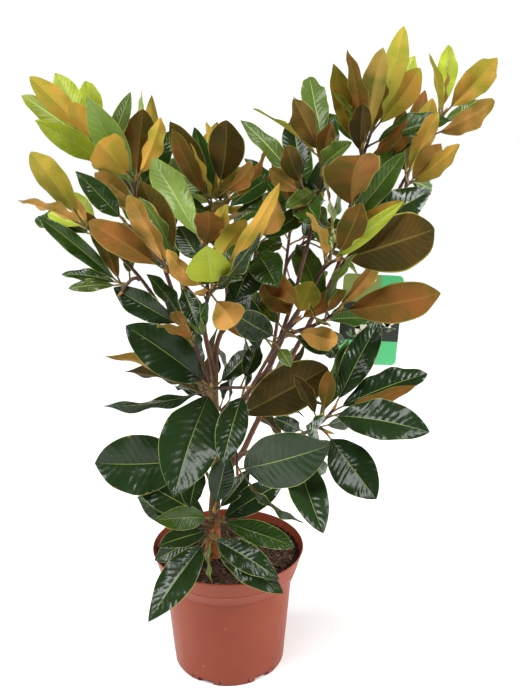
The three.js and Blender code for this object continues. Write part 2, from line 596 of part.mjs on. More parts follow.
/** The shoots of a mass: the first carries on from the limb, the others branch off it. */
function growShoots(mass, limb, massKey) {
  const onTrunk = mass.on === 'trunk';
  const origin = limb.curve.getPointAt(onTrunk ? mass.at : 1);
  const along = onTrunk ? vec(mass.shoots[0].tip).sub(origin).normalize() : limb.curve.getTangentAt(1);
  const start = onTrunk ? origin : origin.addScaledVector(along, AIR);
  const shoots = [];
  for (const [order, row] of mass.shoots.entries()) {
    const tip = vec(row.tip);
    const from = SHOOT.branching * order;
    const foot = order === 0 ? start : shoots[0].chords.getPoint(from);
    const leaning = order === 0 ? along : shoots[0].curve.getTangentAt(from);
    const control = foot.clone().addScaledVector(leaning, foot.distanceTo(tip) * SHOOT.reach);
    const curve = new THREE.QuadraticBezierCurve3(foot, control, tip);
    const solid = limbSolid(curve, taper(SHOOT.foot, SHOOT.tip), SHOOT.sides, SHOOT.steps);
    const chords = chordsOf(curve, SHOOT.steps);
    shoots.push({ curve, chords, row, ...standing(solid), key: massKey * 10 + order });
  }
  return shoots;
}

/** One foliage mass: its leaves grown on its shoots, clear of `around`, which they then join. */
function growMass(mass, shoots, limb, around) {
  const centre = vec(mass.shoots[0].tip);
  const own = [...shoots];
  const parts = shoots.map((shoot) => shoot.solid);
  const others = around.filter((item) => !shoots.includes(item));
  const fits = (leaf) => {
    const tip = leaf.root.clone().addScaledVector(leaf.along, leaf.length);
    return tip.distanceTo(centre) < mass.space
      && isClear(leafSolid(leaf, LEAF.clear), others)
      && isClear(leafSolid(leaf, LEAF.clear, true), own);
  };
  for (const shoot of shoots) {
    for (let index = 0; index < shoot.row.leaves; index += 1) {
      const tries = Array.from({ length: LEAF.tries }, (_, attempt) => leafAt(shoot, index, attempt));
      const leaf = tries.find(fits);
      if (leaf) {
        const solid = leafSolid(leaf);
        parts.push(solid);
        around.push(standing(solid));
        own.push(standing(leafSolid(leaf, 0, true)));
      }
    }
  }
  const solid = wasm.Manifold.union(parts);
  return outerBody(mass.on === 'trunk' ? solid.subtract(limb.cutter) : solid);
}

// ---------------------------------------------------------------- assembly
const plant = new THREE.Group();
const limbs = growLimbs();
const pot = potSolid();
const compost = compostSolid();
const card = cardSolid();
const tie = tieSolid();
const shoots = MASSES.map((mass, massKey) => growShoots(mass, limbs.get(mass.on), massKey));
const around = [pot, compost, card, tie, ...[...limbs.values()].map((limb) => limb.solid)].map(standing);
around.push(...shoots.flat());

plant.add(meshOf('pot', pot, FINISH.pot));
plant.add(meshOf('compost', compost, FINISH.compost));
for (const [name, limb] of limbs) {
  plant.add(meshOf(name, limb.solid, name === 'trunk' ? FINISH.bark : FINISH.twig));
}
for (const [massKey, mass] of MASSES.entries()) {
  const solid = growMass(mass, shoots[massKey], limbs.get(mass.on), around);
  plant.add(meshOf(mass.name, solid, FINISH.leaf));
}
plant.add(meshOf('plant_card', card, FINISH.card));
plant.add(meshOf('card_tie', tie, FINISH.tie));

export default plant;
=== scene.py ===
"""A young evergreen magnolia in a nursery pot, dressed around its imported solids.

Sizes are millimetres, as in the part's source, and `MM` turns them to metres where a mesh is made.
+Z is up, the front of the plant is towards -Y and the origin is the middle of the pot's underside.
The limbs and the leaves are grown again by the source's own seeded rule, so that each fine leaf,
shoot and bark tube stands where its solid stands.
"""

from __future__ import annotations

import itertools
import json
import logging
import math
from collections.abc import Callable
from dataclasses import dataclass, field
from enum import Enum
from functools import partial

import bpy
import numpy as np
from mathutils import Euler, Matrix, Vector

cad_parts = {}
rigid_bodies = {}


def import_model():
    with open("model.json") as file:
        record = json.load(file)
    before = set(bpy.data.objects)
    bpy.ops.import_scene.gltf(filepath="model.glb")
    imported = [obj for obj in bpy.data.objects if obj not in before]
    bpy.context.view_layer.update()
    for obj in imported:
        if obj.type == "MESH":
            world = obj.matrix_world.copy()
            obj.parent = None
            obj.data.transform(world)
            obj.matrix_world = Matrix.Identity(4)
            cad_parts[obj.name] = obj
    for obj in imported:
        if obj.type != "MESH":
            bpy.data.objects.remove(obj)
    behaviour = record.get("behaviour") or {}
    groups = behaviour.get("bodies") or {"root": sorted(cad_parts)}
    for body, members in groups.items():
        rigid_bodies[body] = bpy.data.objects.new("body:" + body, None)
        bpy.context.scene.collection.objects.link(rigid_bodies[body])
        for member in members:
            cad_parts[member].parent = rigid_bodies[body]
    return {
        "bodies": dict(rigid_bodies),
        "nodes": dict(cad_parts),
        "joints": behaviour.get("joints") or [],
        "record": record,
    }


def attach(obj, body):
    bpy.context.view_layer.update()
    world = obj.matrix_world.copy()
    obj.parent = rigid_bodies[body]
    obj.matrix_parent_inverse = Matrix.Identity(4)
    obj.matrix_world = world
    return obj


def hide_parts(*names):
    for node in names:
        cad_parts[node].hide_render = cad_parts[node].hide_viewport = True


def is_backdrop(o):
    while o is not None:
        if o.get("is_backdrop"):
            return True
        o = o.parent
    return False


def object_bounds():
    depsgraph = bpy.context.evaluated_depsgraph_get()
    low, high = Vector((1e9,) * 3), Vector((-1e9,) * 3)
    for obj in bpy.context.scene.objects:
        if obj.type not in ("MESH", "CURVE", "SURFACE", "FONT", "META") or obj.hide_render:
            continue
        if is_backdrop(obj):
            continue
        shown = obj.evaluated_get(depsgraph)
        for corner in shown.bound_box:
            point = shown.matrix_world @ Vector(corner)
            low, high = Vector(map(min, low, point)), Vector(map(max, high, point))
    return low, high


LOG = logging.getLogger("magnolia")
MM = 0.001
SEED = 26
AIR = 0.3
GOLDEN_ANGLE = 137.5
NOISE_WAVES = 6
UP = np.array([0.0, 0.0, 1.0])
TAU = 2 * math.pi


# ---------------------------------------------------------------- seeded chance
def chance(*keys: int) -> float:
    """A number from 0 to 1 that is always the same for the same whole-number keys.

    Formula: each key is mixed into a 32-bit number by two multiplications and two shifted
    exclusive ors, and the result is divided by 2 to the 32.

    Args:
        keys: whole numbers that name what the number is for.

    Returns:
        The number, evenly spread from 0 to 1.
    """
    mask = 0xFFFFFFFF
    mixed = SEED
    for key in keys:
        mixed = ((mixed ^ ((key + 0x9E3779B9) & mask)) * 0x85EBCA6B) & mask
        mixed ^= mixed >> 13
        mixed = (mixed * 0xC2B2AE35) & mask
        mixed ^= mixed >> 16
    return mixed / 2**32


def swing(reach: float, *keys: int) -> float:
    """A number spread evenly around zero, at most `reach` from it."""
    return (chance(*keys) * 2 - 1) * reach


# ---------------------------------------------------------------- vectors and curves
def unit(vector: np.ndarray) -> np.ndarray:
    """The vector, or each row of an array of vectors, at length one."""
    return vector / np.linalg.norm(vector, axis=-1, keepdims=True)


def heading(azimuth: float, rise: float) -> np.ndarray:
    """Unit vector for an azimuth (0 along +X, 90 along +Y) and a rise above level, in degrees."""
    a, e = math.radians(azimuth), math.radians(rise)
    return np.array([math.cos(a) * math.cos(e), math.sin(a) * math.cos(e), math.sin(e)])


def square_to(along: np.ndarray, direction: np.ndarray) -> np.ndarray:
    """The part of a direction that is square to a unit vector, as a unit vector."""
    return unit(direction - along * float(direction @ along))


def turned_about(vector: np.ndarray, axis: np.ndarray, degrees: float) -> np.ndarray:
    """A vector turned about an axis: v cos a + (axis x v) sin a + axis (axis . v)(1 - cos a).

    Args:
        vector: the vector v.
        axis: the unit axis.
        degrees: the angle a, anticlockwise seen against the axis.

    Returns:
        The turned vector.
    """
    a = math.radians(degrees)
    turned = vector * math.cos(a) + np.cross(axis, vector) * math.sin(a)
    return turned + axis * float(axis @ vector) * (1 - math.cos(a))


class Line:
    """A curve that is read by length: a share from 0 to 1 of its length gives a point on it."""

    DIVISIONS = 200
    STEP = 0.0001

    def raw(self, t: np.ndarray) -> np.ndarray:
        """Points at the curve's own parameter, which doesn't run evenly along it."""
        raise NotImplementedError

    def measure(self) -> None:
        """Keeps the running length of the curve at 201 even steps of its own parameter."""
        points = self.raw(np.linspace(0, 1, self.DIVISIONS + 1))
        steps = np.linalg.norm(np.diff(points, axis=0), axis=1)
        self.running = np.concatenate([[0.0], np.cumsum(steps)])
        self.length = float(self.running[-1])

    def parameter(self, share: np.ndarray | float) -> np.ndarray:
        """The curve's own parameter at a share of its length."""
        wanted = np.atleast_1d(share) * self.length
        return np.interp(wanted, self.running, np.linspace(0, 1, self.DIVISIONS + 1))

    def point(self, share: float) -> np.ndarray:
        """The point at a share of the length."""
        return self.raw(self.parameter(share))[0]

    def direction(self, share: float) -> np.ndarray:
        """The direction of travel, from the points a little before and after a place.

        Args:
            share: the place, as a share of the length.

        Returns:
            The unit direction.
        """
        t = float(self.parameter(share)[0])
        ends = np.clip(np.array([t - self.STEP, t + self.STEP]), 0, 1)
        before, after = self.raw(ends)
        return unit(after - before)

    def points(self, count: int) -> np.ndarray:
        """Evenly spaced points from end to end."""
        return self.raw(self.parameter(np.linspace(0, 1, count)))


class Spline(Line):
    """A centripetal Catmull-Rom curve through its points, as the source's limbs follow."""

    def __init__(self, points: list) -> None:
        """Adds a mirrored point at each end, which gives the end tangents.

        Args:
            points: the points in order.
        """
        through = np.array(points, float)
        first = 2 * through[0] - through[1]
        last = 2 * through[-1] - through[-2]
        self.padded = np.vstack([first, through, last])
        self.measure()

    def raw(self, t: np.ndarray) -> np.ndarray:
        """Cubic stretches whose tangents weigh the chords by the square root of their lengths.

        Args:
            t: the curve's own parameter, 0 to 1, as an array.

        Returns:
            One point a row.
        """
        spans = len(self.padded) - 3
        place = np.asarray(t, float) * spans
        span = np.clip(np.floor(place).astype(int), 0, spans - 1)
        w = (place - span)[:, None]
        p0, p1, p2, p3 = (self.padded[span + k] for k in range(4))
        steps = (p1 - p0, p2 - p1, p3 - p2)
        d0, d1, d2 = (np.sqrt(np.linalg.norm(step, axis=1))[:, None] for step in steps)
        m1 = ((p1 - p0) / d0 - (p2 - p0) / (d0 + d1) + (p2 - p1) / d1) * d1
        m2 = ((p2 - p1) / d1 - (p3 - p1) / (d1 + d2) + (p3 - p2) / d2) * d1
        square = -3 * p1 + 3 * p2 - 2 * m1 - m2
        cube = 2 * p1 - 2 * p2 + m1 + m2
        return p1 + m1 * w + square * w**2 + cube * w**3


class Bow(Line):
    """A quadratic Bezier curve from a foot to a tip, leaning towards a control point."""

    def __init__(self, foot: np.ndarray, control: np.ndarray, tip: np.ndarray) -> None:
        """Takes the two ends and the point that the curve leans towards."""
        self.foot, self.control, self.tip = (np.asarray(p, float) for p in (foot, control, tip))
        self.measure()

    def raw(self, t: np.ndarray) -> np.ndarray:
        """(1 - t) squared foot + 2 t (1 - t) control + t squared tip."""
        t = np.asarray(t, float)[:, None]
        return (1 - t) ** 2 * self.foot + 2 * t * (1 - t) * self.control + t**2 * self.tip


class Chords(Line):
    """The straight steps between evenly spaced points of a curve, as the source's shoots take them."""

    def __init__(self, curve: Line, steps: int) -> None:
        """Takes the curve and the number of steps."""
        self.ends = curve.points(steps + 1)
        self.measure()

    def raw(self, t: np.ndarray) -> np.ndarray:
        """A straight mix of the two ends that t lies between."""
        places = np.linspace(0, 1, len(self.ends))
        return np.stack([np.interp(t, places, self.ends[:, axis]) for axis in range(3)], axis=1)


def smooth_noise(x: np.ndarray, y: np.ndarray, key: int) -> np.ndarray:
    """A smooth uneven field from about -1 to 1: a sum of plane waves in seeded directions.

    Args:
        x: first coordinate, one wavelength to about 6 units.
        y: second coordinate.
        key: which field.

    Returns:
        The field at each (x, y).
    """
    total = np.zeros(np.broadcast(x, y).shape)
    for wave in range(NOISE_WAVES):
        turn = TAU * chance(key, wave, 1)
        pace = 0.6 + 1.1 * chance(key, wave, 2)
        phase = TAU * chance(key, wave, 3)
        total += np.sin(pace * (x * math.cos(turn) + y * math.sin(turn)) + phase)
    return total / math.sqrt(NOISE_WAVES)


# ---------------------------------------------------------------- meshes
@dataclass
class Shell:
    """Points, faces, the material slot of each face and a place on the surface for each point."""

    points: np.ndarray
    quads: np.ndarray
    triangles: np.ndarray
    quad_slots: np.ndarray
    triangle_slots: np.ndarray
    places: np.ndarray

    @staticmethod
    def joined(shells: list[Shell]) -> Shell:
        """Several shells as one, each face keeping its own points.

        Args:
            shells: the shells, in order.

        Returns:
            One shell that holds them all.
        """
        starts = np.cumsum([0] + [len(s.points) for s in shells[:-1]])
        return Shell(
            np.vstack([s.points for s in shells]),
            np.vstack([s.quads + k for s, k in zip(shells, starts)]),
            np.vstack([s.triangles + k for s, k in zip(shells, starts)]),
            np.concatenate([s.quad_slots for s in shells]),
            np.concatenate([s.triangle_slots for s in shells]),
            np.vstack([s.places for s in shells]),
        )

    def piece(self, name: str, materials: list[bpy.types.Material], sharp: float = 60) -> bpy.types.Object:
        """Makes the Blender object of the shell, at the origin and in metres.

        Args:
            name: the object's name.
            materials: one for each slot number used.
            sharp: edges that turn by more degrees than this are drawn as corners.

        Returns:
            The linked object.
        """
        mesh = bpy.data.meshes.new(name)
        faces = self.quads.tolist() + self.triangles.tolist()
        mesh.from_pydata((self.points * MM).tolist(), [], faces)
        slots = np.concatenate([self.quad_slots, self.triangle_slots]).astype(np.int32)
        mesh.polygons.foreach_set("material_index", slots)
        mesh.polygons.foreach_set("use_smooth", np.ones(len(slots), bool))
        corners = np.empty(len(mesh.loops), np.int32)
        mesh.loops.foreach_get("vertex_index", corners)
        layer = mesh.uv_layers.new(name="surface")
        layer.data.foreach_set("uv", self.places[corners].astype(np.float32).ravel())
        for material in materials:
            mesh.materials.append(material)
        mesh.set_sharp_from_angle(angle=math.radians(sharp))
        mesh.validate()
        made = bpy.data.objects.new(name, mesh)
        bpy.context.scene.collection.objects.link(made)
        return made


def wrapped(grid: np.ndarray, places: np.ndarray, slots: np.ndarray | int = 0, poles: bool = True) -> Shell:
    """A closed shell from rings of points: each ring joins the next, and both ends run to a pole.

    Args:
        grid: points by ring and place round the ring.
        places: surface coordinates in the same layout.
        slots: material slot by place round the ring, or one for all.
        poles: whether the end rings are closed with a fan to their own middle.

    Returns:
        The shell, its faces outward where the rings turn right-handed about the way they advance.
    """
    rings, around = grid.shape[:2]
    index = np.arange(rings * around).reshape(rings, around)
    here, there = index[:-1], index[1:]
    quads = np.stack([here, np.roll(here, -1, 1), np.roll(there, -1, 1), there], -1).reshape(-1, 4)
    slot_row = np.broadcast_to(np.asarray(slots), (around,))
    quad_slots = np.tile(slot_row, rings - 1)
    points, spots = grid.reshape(-1, 3), places.reshape(-1, 2)
    triangles = np.zeros((0, 3), int)
    triangle_slots = np.zeros(0, int)
    if poles:
        first, last = rings * around, rings * around + 1
        start = np.stack([np.roll(index[0], -1), index[0], np.full(around, first)], -1)
        end = np.stack([index[-1], np.roll(index[-1], -1), np.full(around, last)], -1)
        triangles = np.vstack([start, end])
        triangle_slots = np.tile(slot_row, 2)
        points = np.vstack([points, grid[0].mean(0), grid[-1].mean(0)])
        spots = np.vstack([spots, places[0].mean(0), places[-1].mean(0)])
    return Shell(points, quads, triangles, quad_slots, triangle_slots, spots)


def frames_along(points: np.ndarray) -> tuple[np.ndarray, np.ndarray]:
    """Two directions across a path at each of its points, carried along without twisting.

    Args:
        points: the path, one point a row.

    Returns:
        The two unit directions, one a row each.
    """
    travel = unit(np.gradient(points, axis=0))
    across = np.zeros_like(points)
    guess = UP if abs(travel[0] @ UP) < 0.9 else np.array([1.0, 0.0, 0.0])
    for row, direction in enumerate(travel):
        guess = square_to(direction, guess)
        across[row] = guess
    return across, np.cross(travel, across)


def tube(path: np.ndarray, radii: np.ndarray) -> Shell:
    """A closed tube along a path: centre + radius (across cos a + over sin a).

    Args:
        path: centre points.
        radii: radius by path point and angle, so its width is the number of sides.

    Returns:
        The shell; its surface coordinates are millimetres round and along.
    """
    across, over = frames_along(path)
    sides = radii.shape[1]
    angle = np.arange(sides) * TAU / sides
    spokes = across[:, None] * np.cos(angle)[:, None] + over[:, None] * np.sin(angle)[:, None]
    grid = path[:, None] + spokes * radii[:, :, None]
    run = np.concatenate([[0.0], np.cumsum(np.linalg.norm(np.diff(path, axis=0), axis=1))])
    places = np.stack(np.broadcast_arrays(angle[None] * float(radii.mean()), run[:, None]), -1)
    return wrapped(grid, places)


# ---------------------------------------------------------------- nodes and finishes
# Inputs are given by name or number, or as a list from number 0 on: Math has its values there, and
# MapRange its value, the range that comes in and the one that goes out. A Mix of colours has its
# factor at 0, its colours at 6 and 7 and its mixed colour at output 2.
COLOURS = {"out": 2, "data_type": "RGBA"}
Adder = Callable[..., bpy.types.NodeSocket]


def linear(colour: str) -> tuple[float, float, float, float]:
    """An sRGB hex colour as linear red, green, blue and alpha.

    Formula: a channel c is c / 12.92 up to 0.04045, and ((c + 0.055) / 1.055) to the 2.4 above.

    Args:
        colour: six hex digits after a hash.

    Returns:
        The linear colour with alpha 1.
    """
    channels = [int(colour[k : k + 2], 16) / 255 for k in (1, 3, 5)]
    red, green, blue = (c / 12.92 if c <= 0.04045 else ((c + 0.055) / 1.055) ** 2.4 for c in channels)
    return red, green, blue, 1.0


def per(cell: float) -> float:
    """The Scale of a pattern on Object coordinates whose cells are so many millimetres wide."""
    return 1 / (cell * MM)


def feed(node: bpy.types.Node, inputs: dict | list) -> None:
    """Links or sets inputs of a node.

    Args:
        node: the node.
        inputs: output sockets to link or values to set, by input name or number or as a list.
    """
    for name, value in inputs.items() if isinstance(inputs, dict) else enumerate(inputs):
        if isinstance(value, bpy.types.NodeSocket):
            node.id_data.links.new(value, node.inputs[name])
        else:
            node.inputs[name].default_value = value


def add_node(
    tree: bpy.types.NodeTree, kind: str, inputs: dict | list = (), out: int | str = 0, **settings: object
) -> bpy.types.NodeSocket:
    """Adds a node with its settings and links, and gives one of its outputs.

    Args:
        tree: the node tree.
        kind: the node's type without its "ShaderNode" prefix.
        inputs: output sockets to link or values to set, by input name or number or as a list.
        out: name or number of the output.
        settings: properties of the node.

    Returns:
        The output's socket.
    """
    node = tree.nodes.new("ShaderNode" + kind)
    for name, value in settings.items():
        setattr(node, name, value)
    feed(node, inputs)
    return node.outputs[out]


@dataclass(frozen=True)
class Finish:
    """A material with a Principled shader and its main colour, made once and kept by name."""

    name: str
    colour: str

    def made(self) -> bpy.types.Material:
        """The Blender material, built on first use.

        Returns:
            The material of this name.
        """
        found = bpy.data.materials.get(self.name)
        if found is not None:
            return found
        material = bpy.data.materials.new(self.name)
        material.use_nodes = True
        tree = material.node_tree
        feed(tree.nodes["Principled BSDF"], self.sockets(partial(add_node, tree)))
        return material

    def sockets(self, add: Adder) -> dict:
        """The shader's inputs by name, each a value or an output socket of the nodes it adds."""
        raise NotImplementedError


@dataclass(frozen=True)
class LeafTop(Finish):
    """Upper side of a magnolia leaf: waxy cuticle over a leathery blade, grown, not made.

    To the eye it is a smooth gloss, broken into streaks where the blade is quilted between veins.
    """

    vein: str
    roughness: float = 0.27
    gloss: float = 0.26
    veins: float = 13
    forward: float = 0.16
    quilting: float = 0.75
    patch: float = 20
    wrinkle: float = 13

    def sockets(self, add: Adder) -> dict:
        """Colour drifts a little over the blade and lightens along the side veins.

        Between the veins the blade is quilted, in some patches more than in others, and wrinkled.

        Args:
            add: adds a node to the material.

        Returns:
            The shader's inputs.
        """
        spot = add("TexCoord", out="Object")
        wave, _ = leaf_pattern(add, self.veins, self.forward)
        crest = add("Math", [wave, 9.0], operation="POWER")
        on_vein = add("Math", [crest, 0.08], operation="MULTIPLY")
        drift = add("TexNoise", {"Vector": spot, "Scale": per(28), "Detail": 2})
        paler = add("Mix", {0: 0.4, 6: linear(self.colour), 7: linear(self.vein)}, **COLOURS)
        base = add("Mix", {0: drift, 6: linear(self.colour), 7: paler}, **COLOURS)
        patches = add("TexNoise", {"Vector": spot, "Scale": per(self.patch), "Detail": 2})
        depth = add("MapRange", [patches, 0.4, 0.7, -0.15, -0.9])
        folds = add("TexNoise", {"Vector": spot, "Scale": per(self.wrinkle), "Detail": 2})
        wrinkled = add("Math", [folds, 0.8], operation="MULTIPLY")
        quilt = add("Math", [wave, depth, wrinkled], operation="MULTIPLY_ADD")
        waxy = add("TexNoise", {"Vector": spot, "Scale": per(9), "Detail": 3})
        return {
            "Base Color": add("Mix", {0: on_vein, 6: base, 7: linear(self.vein)}, **COLOURS),
            "Normal": add("Bump", {"Strength": 1.0, "Distance": self.quilting * MM, "Height": quilt}),
            "Roughness": add("Math", [waxy, 0.14, self.roughness - 0.09], operation="MULTIPLY_ADD"),
            "Specular IOR Level": self.gloss,
            "IOR": 1.45,
        }


@dataclass(frozen=True)
class LeafFelt(Finish):
    """Underside of a magnolia leaf: short rusty felt of hairs, grown, not made.

    To the eye it is matte with a soft sheen, with a pale midrib, paler side veins, a thin bare
    edge and a fine mealy grain; patches of it are worn to a deeper, greener tone.
    """

    vein: str
    deep: str
    edge: str = "#989442"
    veins: float = 13
    forward: float = 0.16
    patch: float = 42
    grain: float = 1.8

    def sockets(self, add: Adder) -> dict:
        """Felt colour drifts to its deeper tone, with paler raised side veins, midrib and edge.

        Args:
            add: adds a node to the material.

        Returns:
            The shader's inputs.
        """
        vein = linear(self.vein)
        deep = linear(self.deep)
        spot = add("TexCoord", out="Object")
        wave, across = leaf_pattern(add, self.veins, self.forward)
        crest = add("Math", [wave, 12.0], operation="POWER")
        patches = add("TexNoise", {"Vector": spot, "Scale": per(self.patch), "Detail": 3})
        worn = add("MapRange", [patches, 0.38, 0.62])
        hairs = add("TexNoise", {"Vector": spot, "Scale": per(self.grain), "Detail": 2})
        base = add("Mix", {0: worn, 6: linear(self.colour), 7: deep}, **COLOURS)
        mealy = add("Math", [hairs, 0.25], operation="MULTIPLY")
        grained = add("Mix", {0: mealy, 6: base, 7: deep}, **COLOURS)
        on_vein = add("Math", [crest, 0.11], operation="MULTIPLY")
        veined = add("Mix", {0: on_vein, 6: grained, 7: vein}, **COLOURS)
        on_rib = add("MapRange", [across, 0.012, 0.042, 0.42, 0.0])
        ribbed = add("Mix", {0: on_rib, 6: veined, 7: vein}, **COLOURS)
        on_edge = add("MapRange", [across, 0.93, 0.965, 0.0, 0.7])
        nap = add("Math", [hairs, 0.3], operation="MULTIPLY")
        raised = add("Math", [crest, 0.5, nap], operation="MULTIPLY_ADD")
        return {
            "Base Color": add("Mix", {0: on_edge, 6: ribbed, 7: linear(self.edge)}, **COLOURS),
            "Normal": add("Bump", {"Strength": 0.6, "Distance": 0.6 * MM, "Height": raised}),
            "Roughness": 0.7,
            "Specular IOR Level": 0.15,
            "IOR": 1.45,
        }


def leaf_pattern(add: Adder, veins: float, forward: float) -> tuple:
    """A wave over a leaf that crests on its side veins, and the distance from its midrib.

    The surface coordinates are the share across (-1 to 1) and along (0 to 1). Formula: half of
    1 plus the cosine of 2 pi veins (along - forward |across|).

    Args:
        add: adds a node to the material.
        veins: pairs of side veins on a blade.
        forward: how far along a vein has run when it reaches the edge.

    Returns:
        The sockets of the wave (0 to 1) and of |across|.
    """
    place = add("UVMap", uv_map="surface")
    along = add("SeparateXYZ", [place], "Y")
    across = add("Math", [along.node.outputs["X"]], operation="ABSOLUTE")
    started = add("Math", [across, -forward, along], operation="MULTIPLY_ADD")
    phase = add("Math", [started, TAU * veins], operation="MULTIPLY")
    swell = add("Math", [phase], operation="COSINE")
    return add("Math", [swell, 0.5, 0.5], operation="MULTIPLY_ADD"), across


@dataclass(frozen=True)
class PlainGrowth(Finish):
    """Smooth living tissue such as a midrib, leaf edge, stalk or bud, grown, not made.

    To the eye it is one soft colour with a slight drift and a low gloss.
    """

    deep: str
    roughness: float = 0.5
    grain: float = 3.0
    dip: float = 0.2

    def sockets(self, add: Adder) -> dict:
        """Colour drifts between two tones over a fine grain, which also lifts the surface.

        Args:
            add: adds a node to the material.

        Returns:
            The shader's inputs.
        """
        spot = add("TexCoord", out="Object")
        grain = add("TexNoise", {"Vector": spot, "Scale": per(self.grain), "Detail": 3})
        return {
            "Base Color": add("Mix", {0: grain, 6: linear(self.colour), 7: linear(self.deep)}, **COLOURS),
            "Normal": add("Bump", {"Strength": 0.4, "Distance": self.dip * MM, "Height": grain}),
            "Roughness": self.roughness,
            "Specular IOR Level": 0.4,
            "IOR": 1.45,
        }


@dataclass(frozen=True)
class Bark(Finish):
    """Young magnolia bark, thin and firm, grown, not made.

    To the eye it is a dull brown with paler speckles (lenticels) and darker fissures. Below the
    height scarred_to the outer bark has split in patches, to the orange under it.
    """

    deep: str
    speckle: str
    roughness: float = 0.7
    dip: float = 0.6
    scar: str = "#b5622e"
    scarred_to: float = 290
    lenticel: float = 5

    def sockets(self, add: Adder) -> dict:
        """Two noises share out the bark's tones, and a cell pattern sets the pale speckles.

        Args:
            add: adds a node to the material.

        Returns:
            The shader's inputs.
        """
        deep = linear(self.deep)
        spot = add("TexCoord", out="Object")
        drawn = add("Mapping", {"Vector": spot, "Scale": (1.0, 1.0, 0.35)})
        fissures = add("TexNoise", {"Vector": drawn, "Scale": per(4.5), "Detail": 4})
        patches = add("TexNoise", {"Vector": spot, "Scale": per(30), "Detail": 2})
        dull = add("Math", [patches, 0.4], operation="MULTIPLY")
        fissured = add("Mix", {0: fissures, 6: deep, 7: linear(self.colour)}, **COLOURS)
        base = add("Mix", {0: dull, 6: fissured, 7: deep}, **COLOURS)
        cells = add("TexVoronoi", {"Vector": spot, "Scale": per(self.lenticel)}, "Distance")
        speckled = add("MapRange", [cells, 0.16, 0.1, 0.0, 0.7])
        height = add("SeparateXYZ", [spot], "Z")
        top = self.scarred_to * MM
        below = add("MapRange", [height, top, 0.92 * top])
        flakes = add("TexNoise", {"Vector": spot, "Scale": per(7), "Detail": 3})
        split = add("MapRange", [flakes, 0.44, 0.56, 0.0, 0.75])
        scarred = add("Math", [below, split], operation="MULTIPLY")
        scars = add("Mix", {0: scarred, 6: base, 7: linear(self.scar)}, **COLOURS)
        relief = add("Math", [speckled, 0.4, fissures], operation="MULTIPLY_ADD")
        return {
            "Base Color": add("Mix", {0: speckled, 6: scars, 7: linear(self.speckle)}, **COLOURS),
            "Normal": add("Bump", {"Strength": 0.6, "Distance": self.dip * MM, "Height": relief}),
            "Roughness": self.roughness,
            "Specular IOR Level": 0.35,
            "IOR": 1.45,
        }


@dataclass(frozen=True)
class PotPlastic(Finish):
    """Polypropylene, injection moulded in one colour, handled and carried about.

    To the eye it is a satin skin with cloudy flow marks and a few pale scuffs.
    """

    shaded: str
    scuff: str
    scuff_gap: float = 34

    def sockets(self, add: Adder) -> dict:
        """Cloudy tone, a fine moulded grain, and sparse scuff specks that are paler.

        Args:
            add: adds a node to the material.

        Returns:
            The shader's inputs.
        """
        spot = add("TexCoord", out="Object")
        cloud = add("TexNoise", {"Vector": spot, "Scale": per(70), "Detail": 3})
        base = add("Mix", {0: cloud, 6: linear(self.colour), 7: linear(self.shaded)}, **COLOURS)
        cells = add("TexVoronoi", {"Vector": spot, "Scale": per(self.scuff_gap)}, "Distance")
        speck = add("MapRange", [cells, 0.055, 0.03, 0.0, 0.6])
        handled = add("TexNoise", {"Vector": spot, "Scale": per(16), "Detail": 4})
        grain = add("TexNoise", {"Vector": spot, "Scale": per(1.6), "Detail": 2})
        return {
            "Base Color": add("Mix", {0: speck, 6: base, 7: linear(self.scuff)}, **COLOURS),
            "Normal": add("Bump", {"Strength": 0.25, "Distance": 0.15 * MM, "Height": grain}),
            "Roughness": add("Math", [handled, 0.18, 0.33], operation="MULTIPLY_ADD"),
            "Specular IOR Level": 0.2,
            "IOR": 1.49,
        }


@dataclass(frozen=True)
class Compost(Finish):
    """Peat-free potting compost, milled, moist and settled.

    To the eye it is dark crumbs with paler fibres, and no gloss.
    """

    pale: str
    cell: float = 3.0

    def sockets(self, add: Adder) -> dict:
        """Crumb-sized noise shares out the tones and the relief.

        Args:
            add: adds a node to the material.

        Returns:
            The shader's inputs.
        """
        spot = add("TexCoord", out="Object")
        crumbs = add("TexNoise", {"Vector": spot, "Scale": per(self.cell), "Detail": 5})
        share = add("MapRange", [crumbs, 0.45, 0.75])
        return {
            "Base Color": add("Mix", {0: share, 6: linear(self.colour), 7: linear(self.pale)}, **COLOURS),
            "Normal": add("Bump", {"Strength": 0.9, "Distance": 1.5 * MM, "Height": crumbs}),
            "Roughness": 0.95,
            "Specular IOR Level": 0.15,
            "IOR": 1.45,
        }


@dataclass(frozen=True)
class PrintedCard(Finish):
    """Polypropylene sheet, offset printed in one ink colour and varnished.

    To the eye it is a flat even colour under a slight satin gloss.
    """

    deep: str
    drift: float = 14

    def sockets(self, add: Adder) -> dict:
        """The ink drifts softly between two tones.

        Args:
            add: adds a node to the material.

        Returns:
            The shader's inputs.
        """
        spot = add("TexCoord", out="Object")
        wash = add("TexNoise", {"Vector": spot, "Scale": per(self.drift), "Detail": 2})
        return {
            "Base Color": add("Mix", {0: wash, 6: linear(self.colour), 7: linear(self.deep)}, **COLOURS),
            "Roughness": 0.38,
            "Specular IOR Level": 0.45,
            "IOR": 1.49,
        }


@dataclass(frozen=True)
class StudioFloor(Finish):
    """Matt white paper sweep, rolled out flat; to the eye an even white with a barely seen grain."""


    def sockets(self, add: Adder) -> dict:
        """One white with a faint paper grain in its relief.

        Args:
            add: adds a node to the material.

        Returns:
            The shader's inputs.
        """
        spot = add("TexCoord", out="Object")
        grain = add("TexNoise", {"Vector": spot, "Scale": per(4), "Detail": 2})
        return {
            "Base Color": linear(self.colour),
            "Normal": add("Bump", {"Strength": 0.05, "Distance": 0.1 * MM, "Height": grain}),
            "Roughness": 0.9,
            "Specular IOR Level": 0.1,
        }


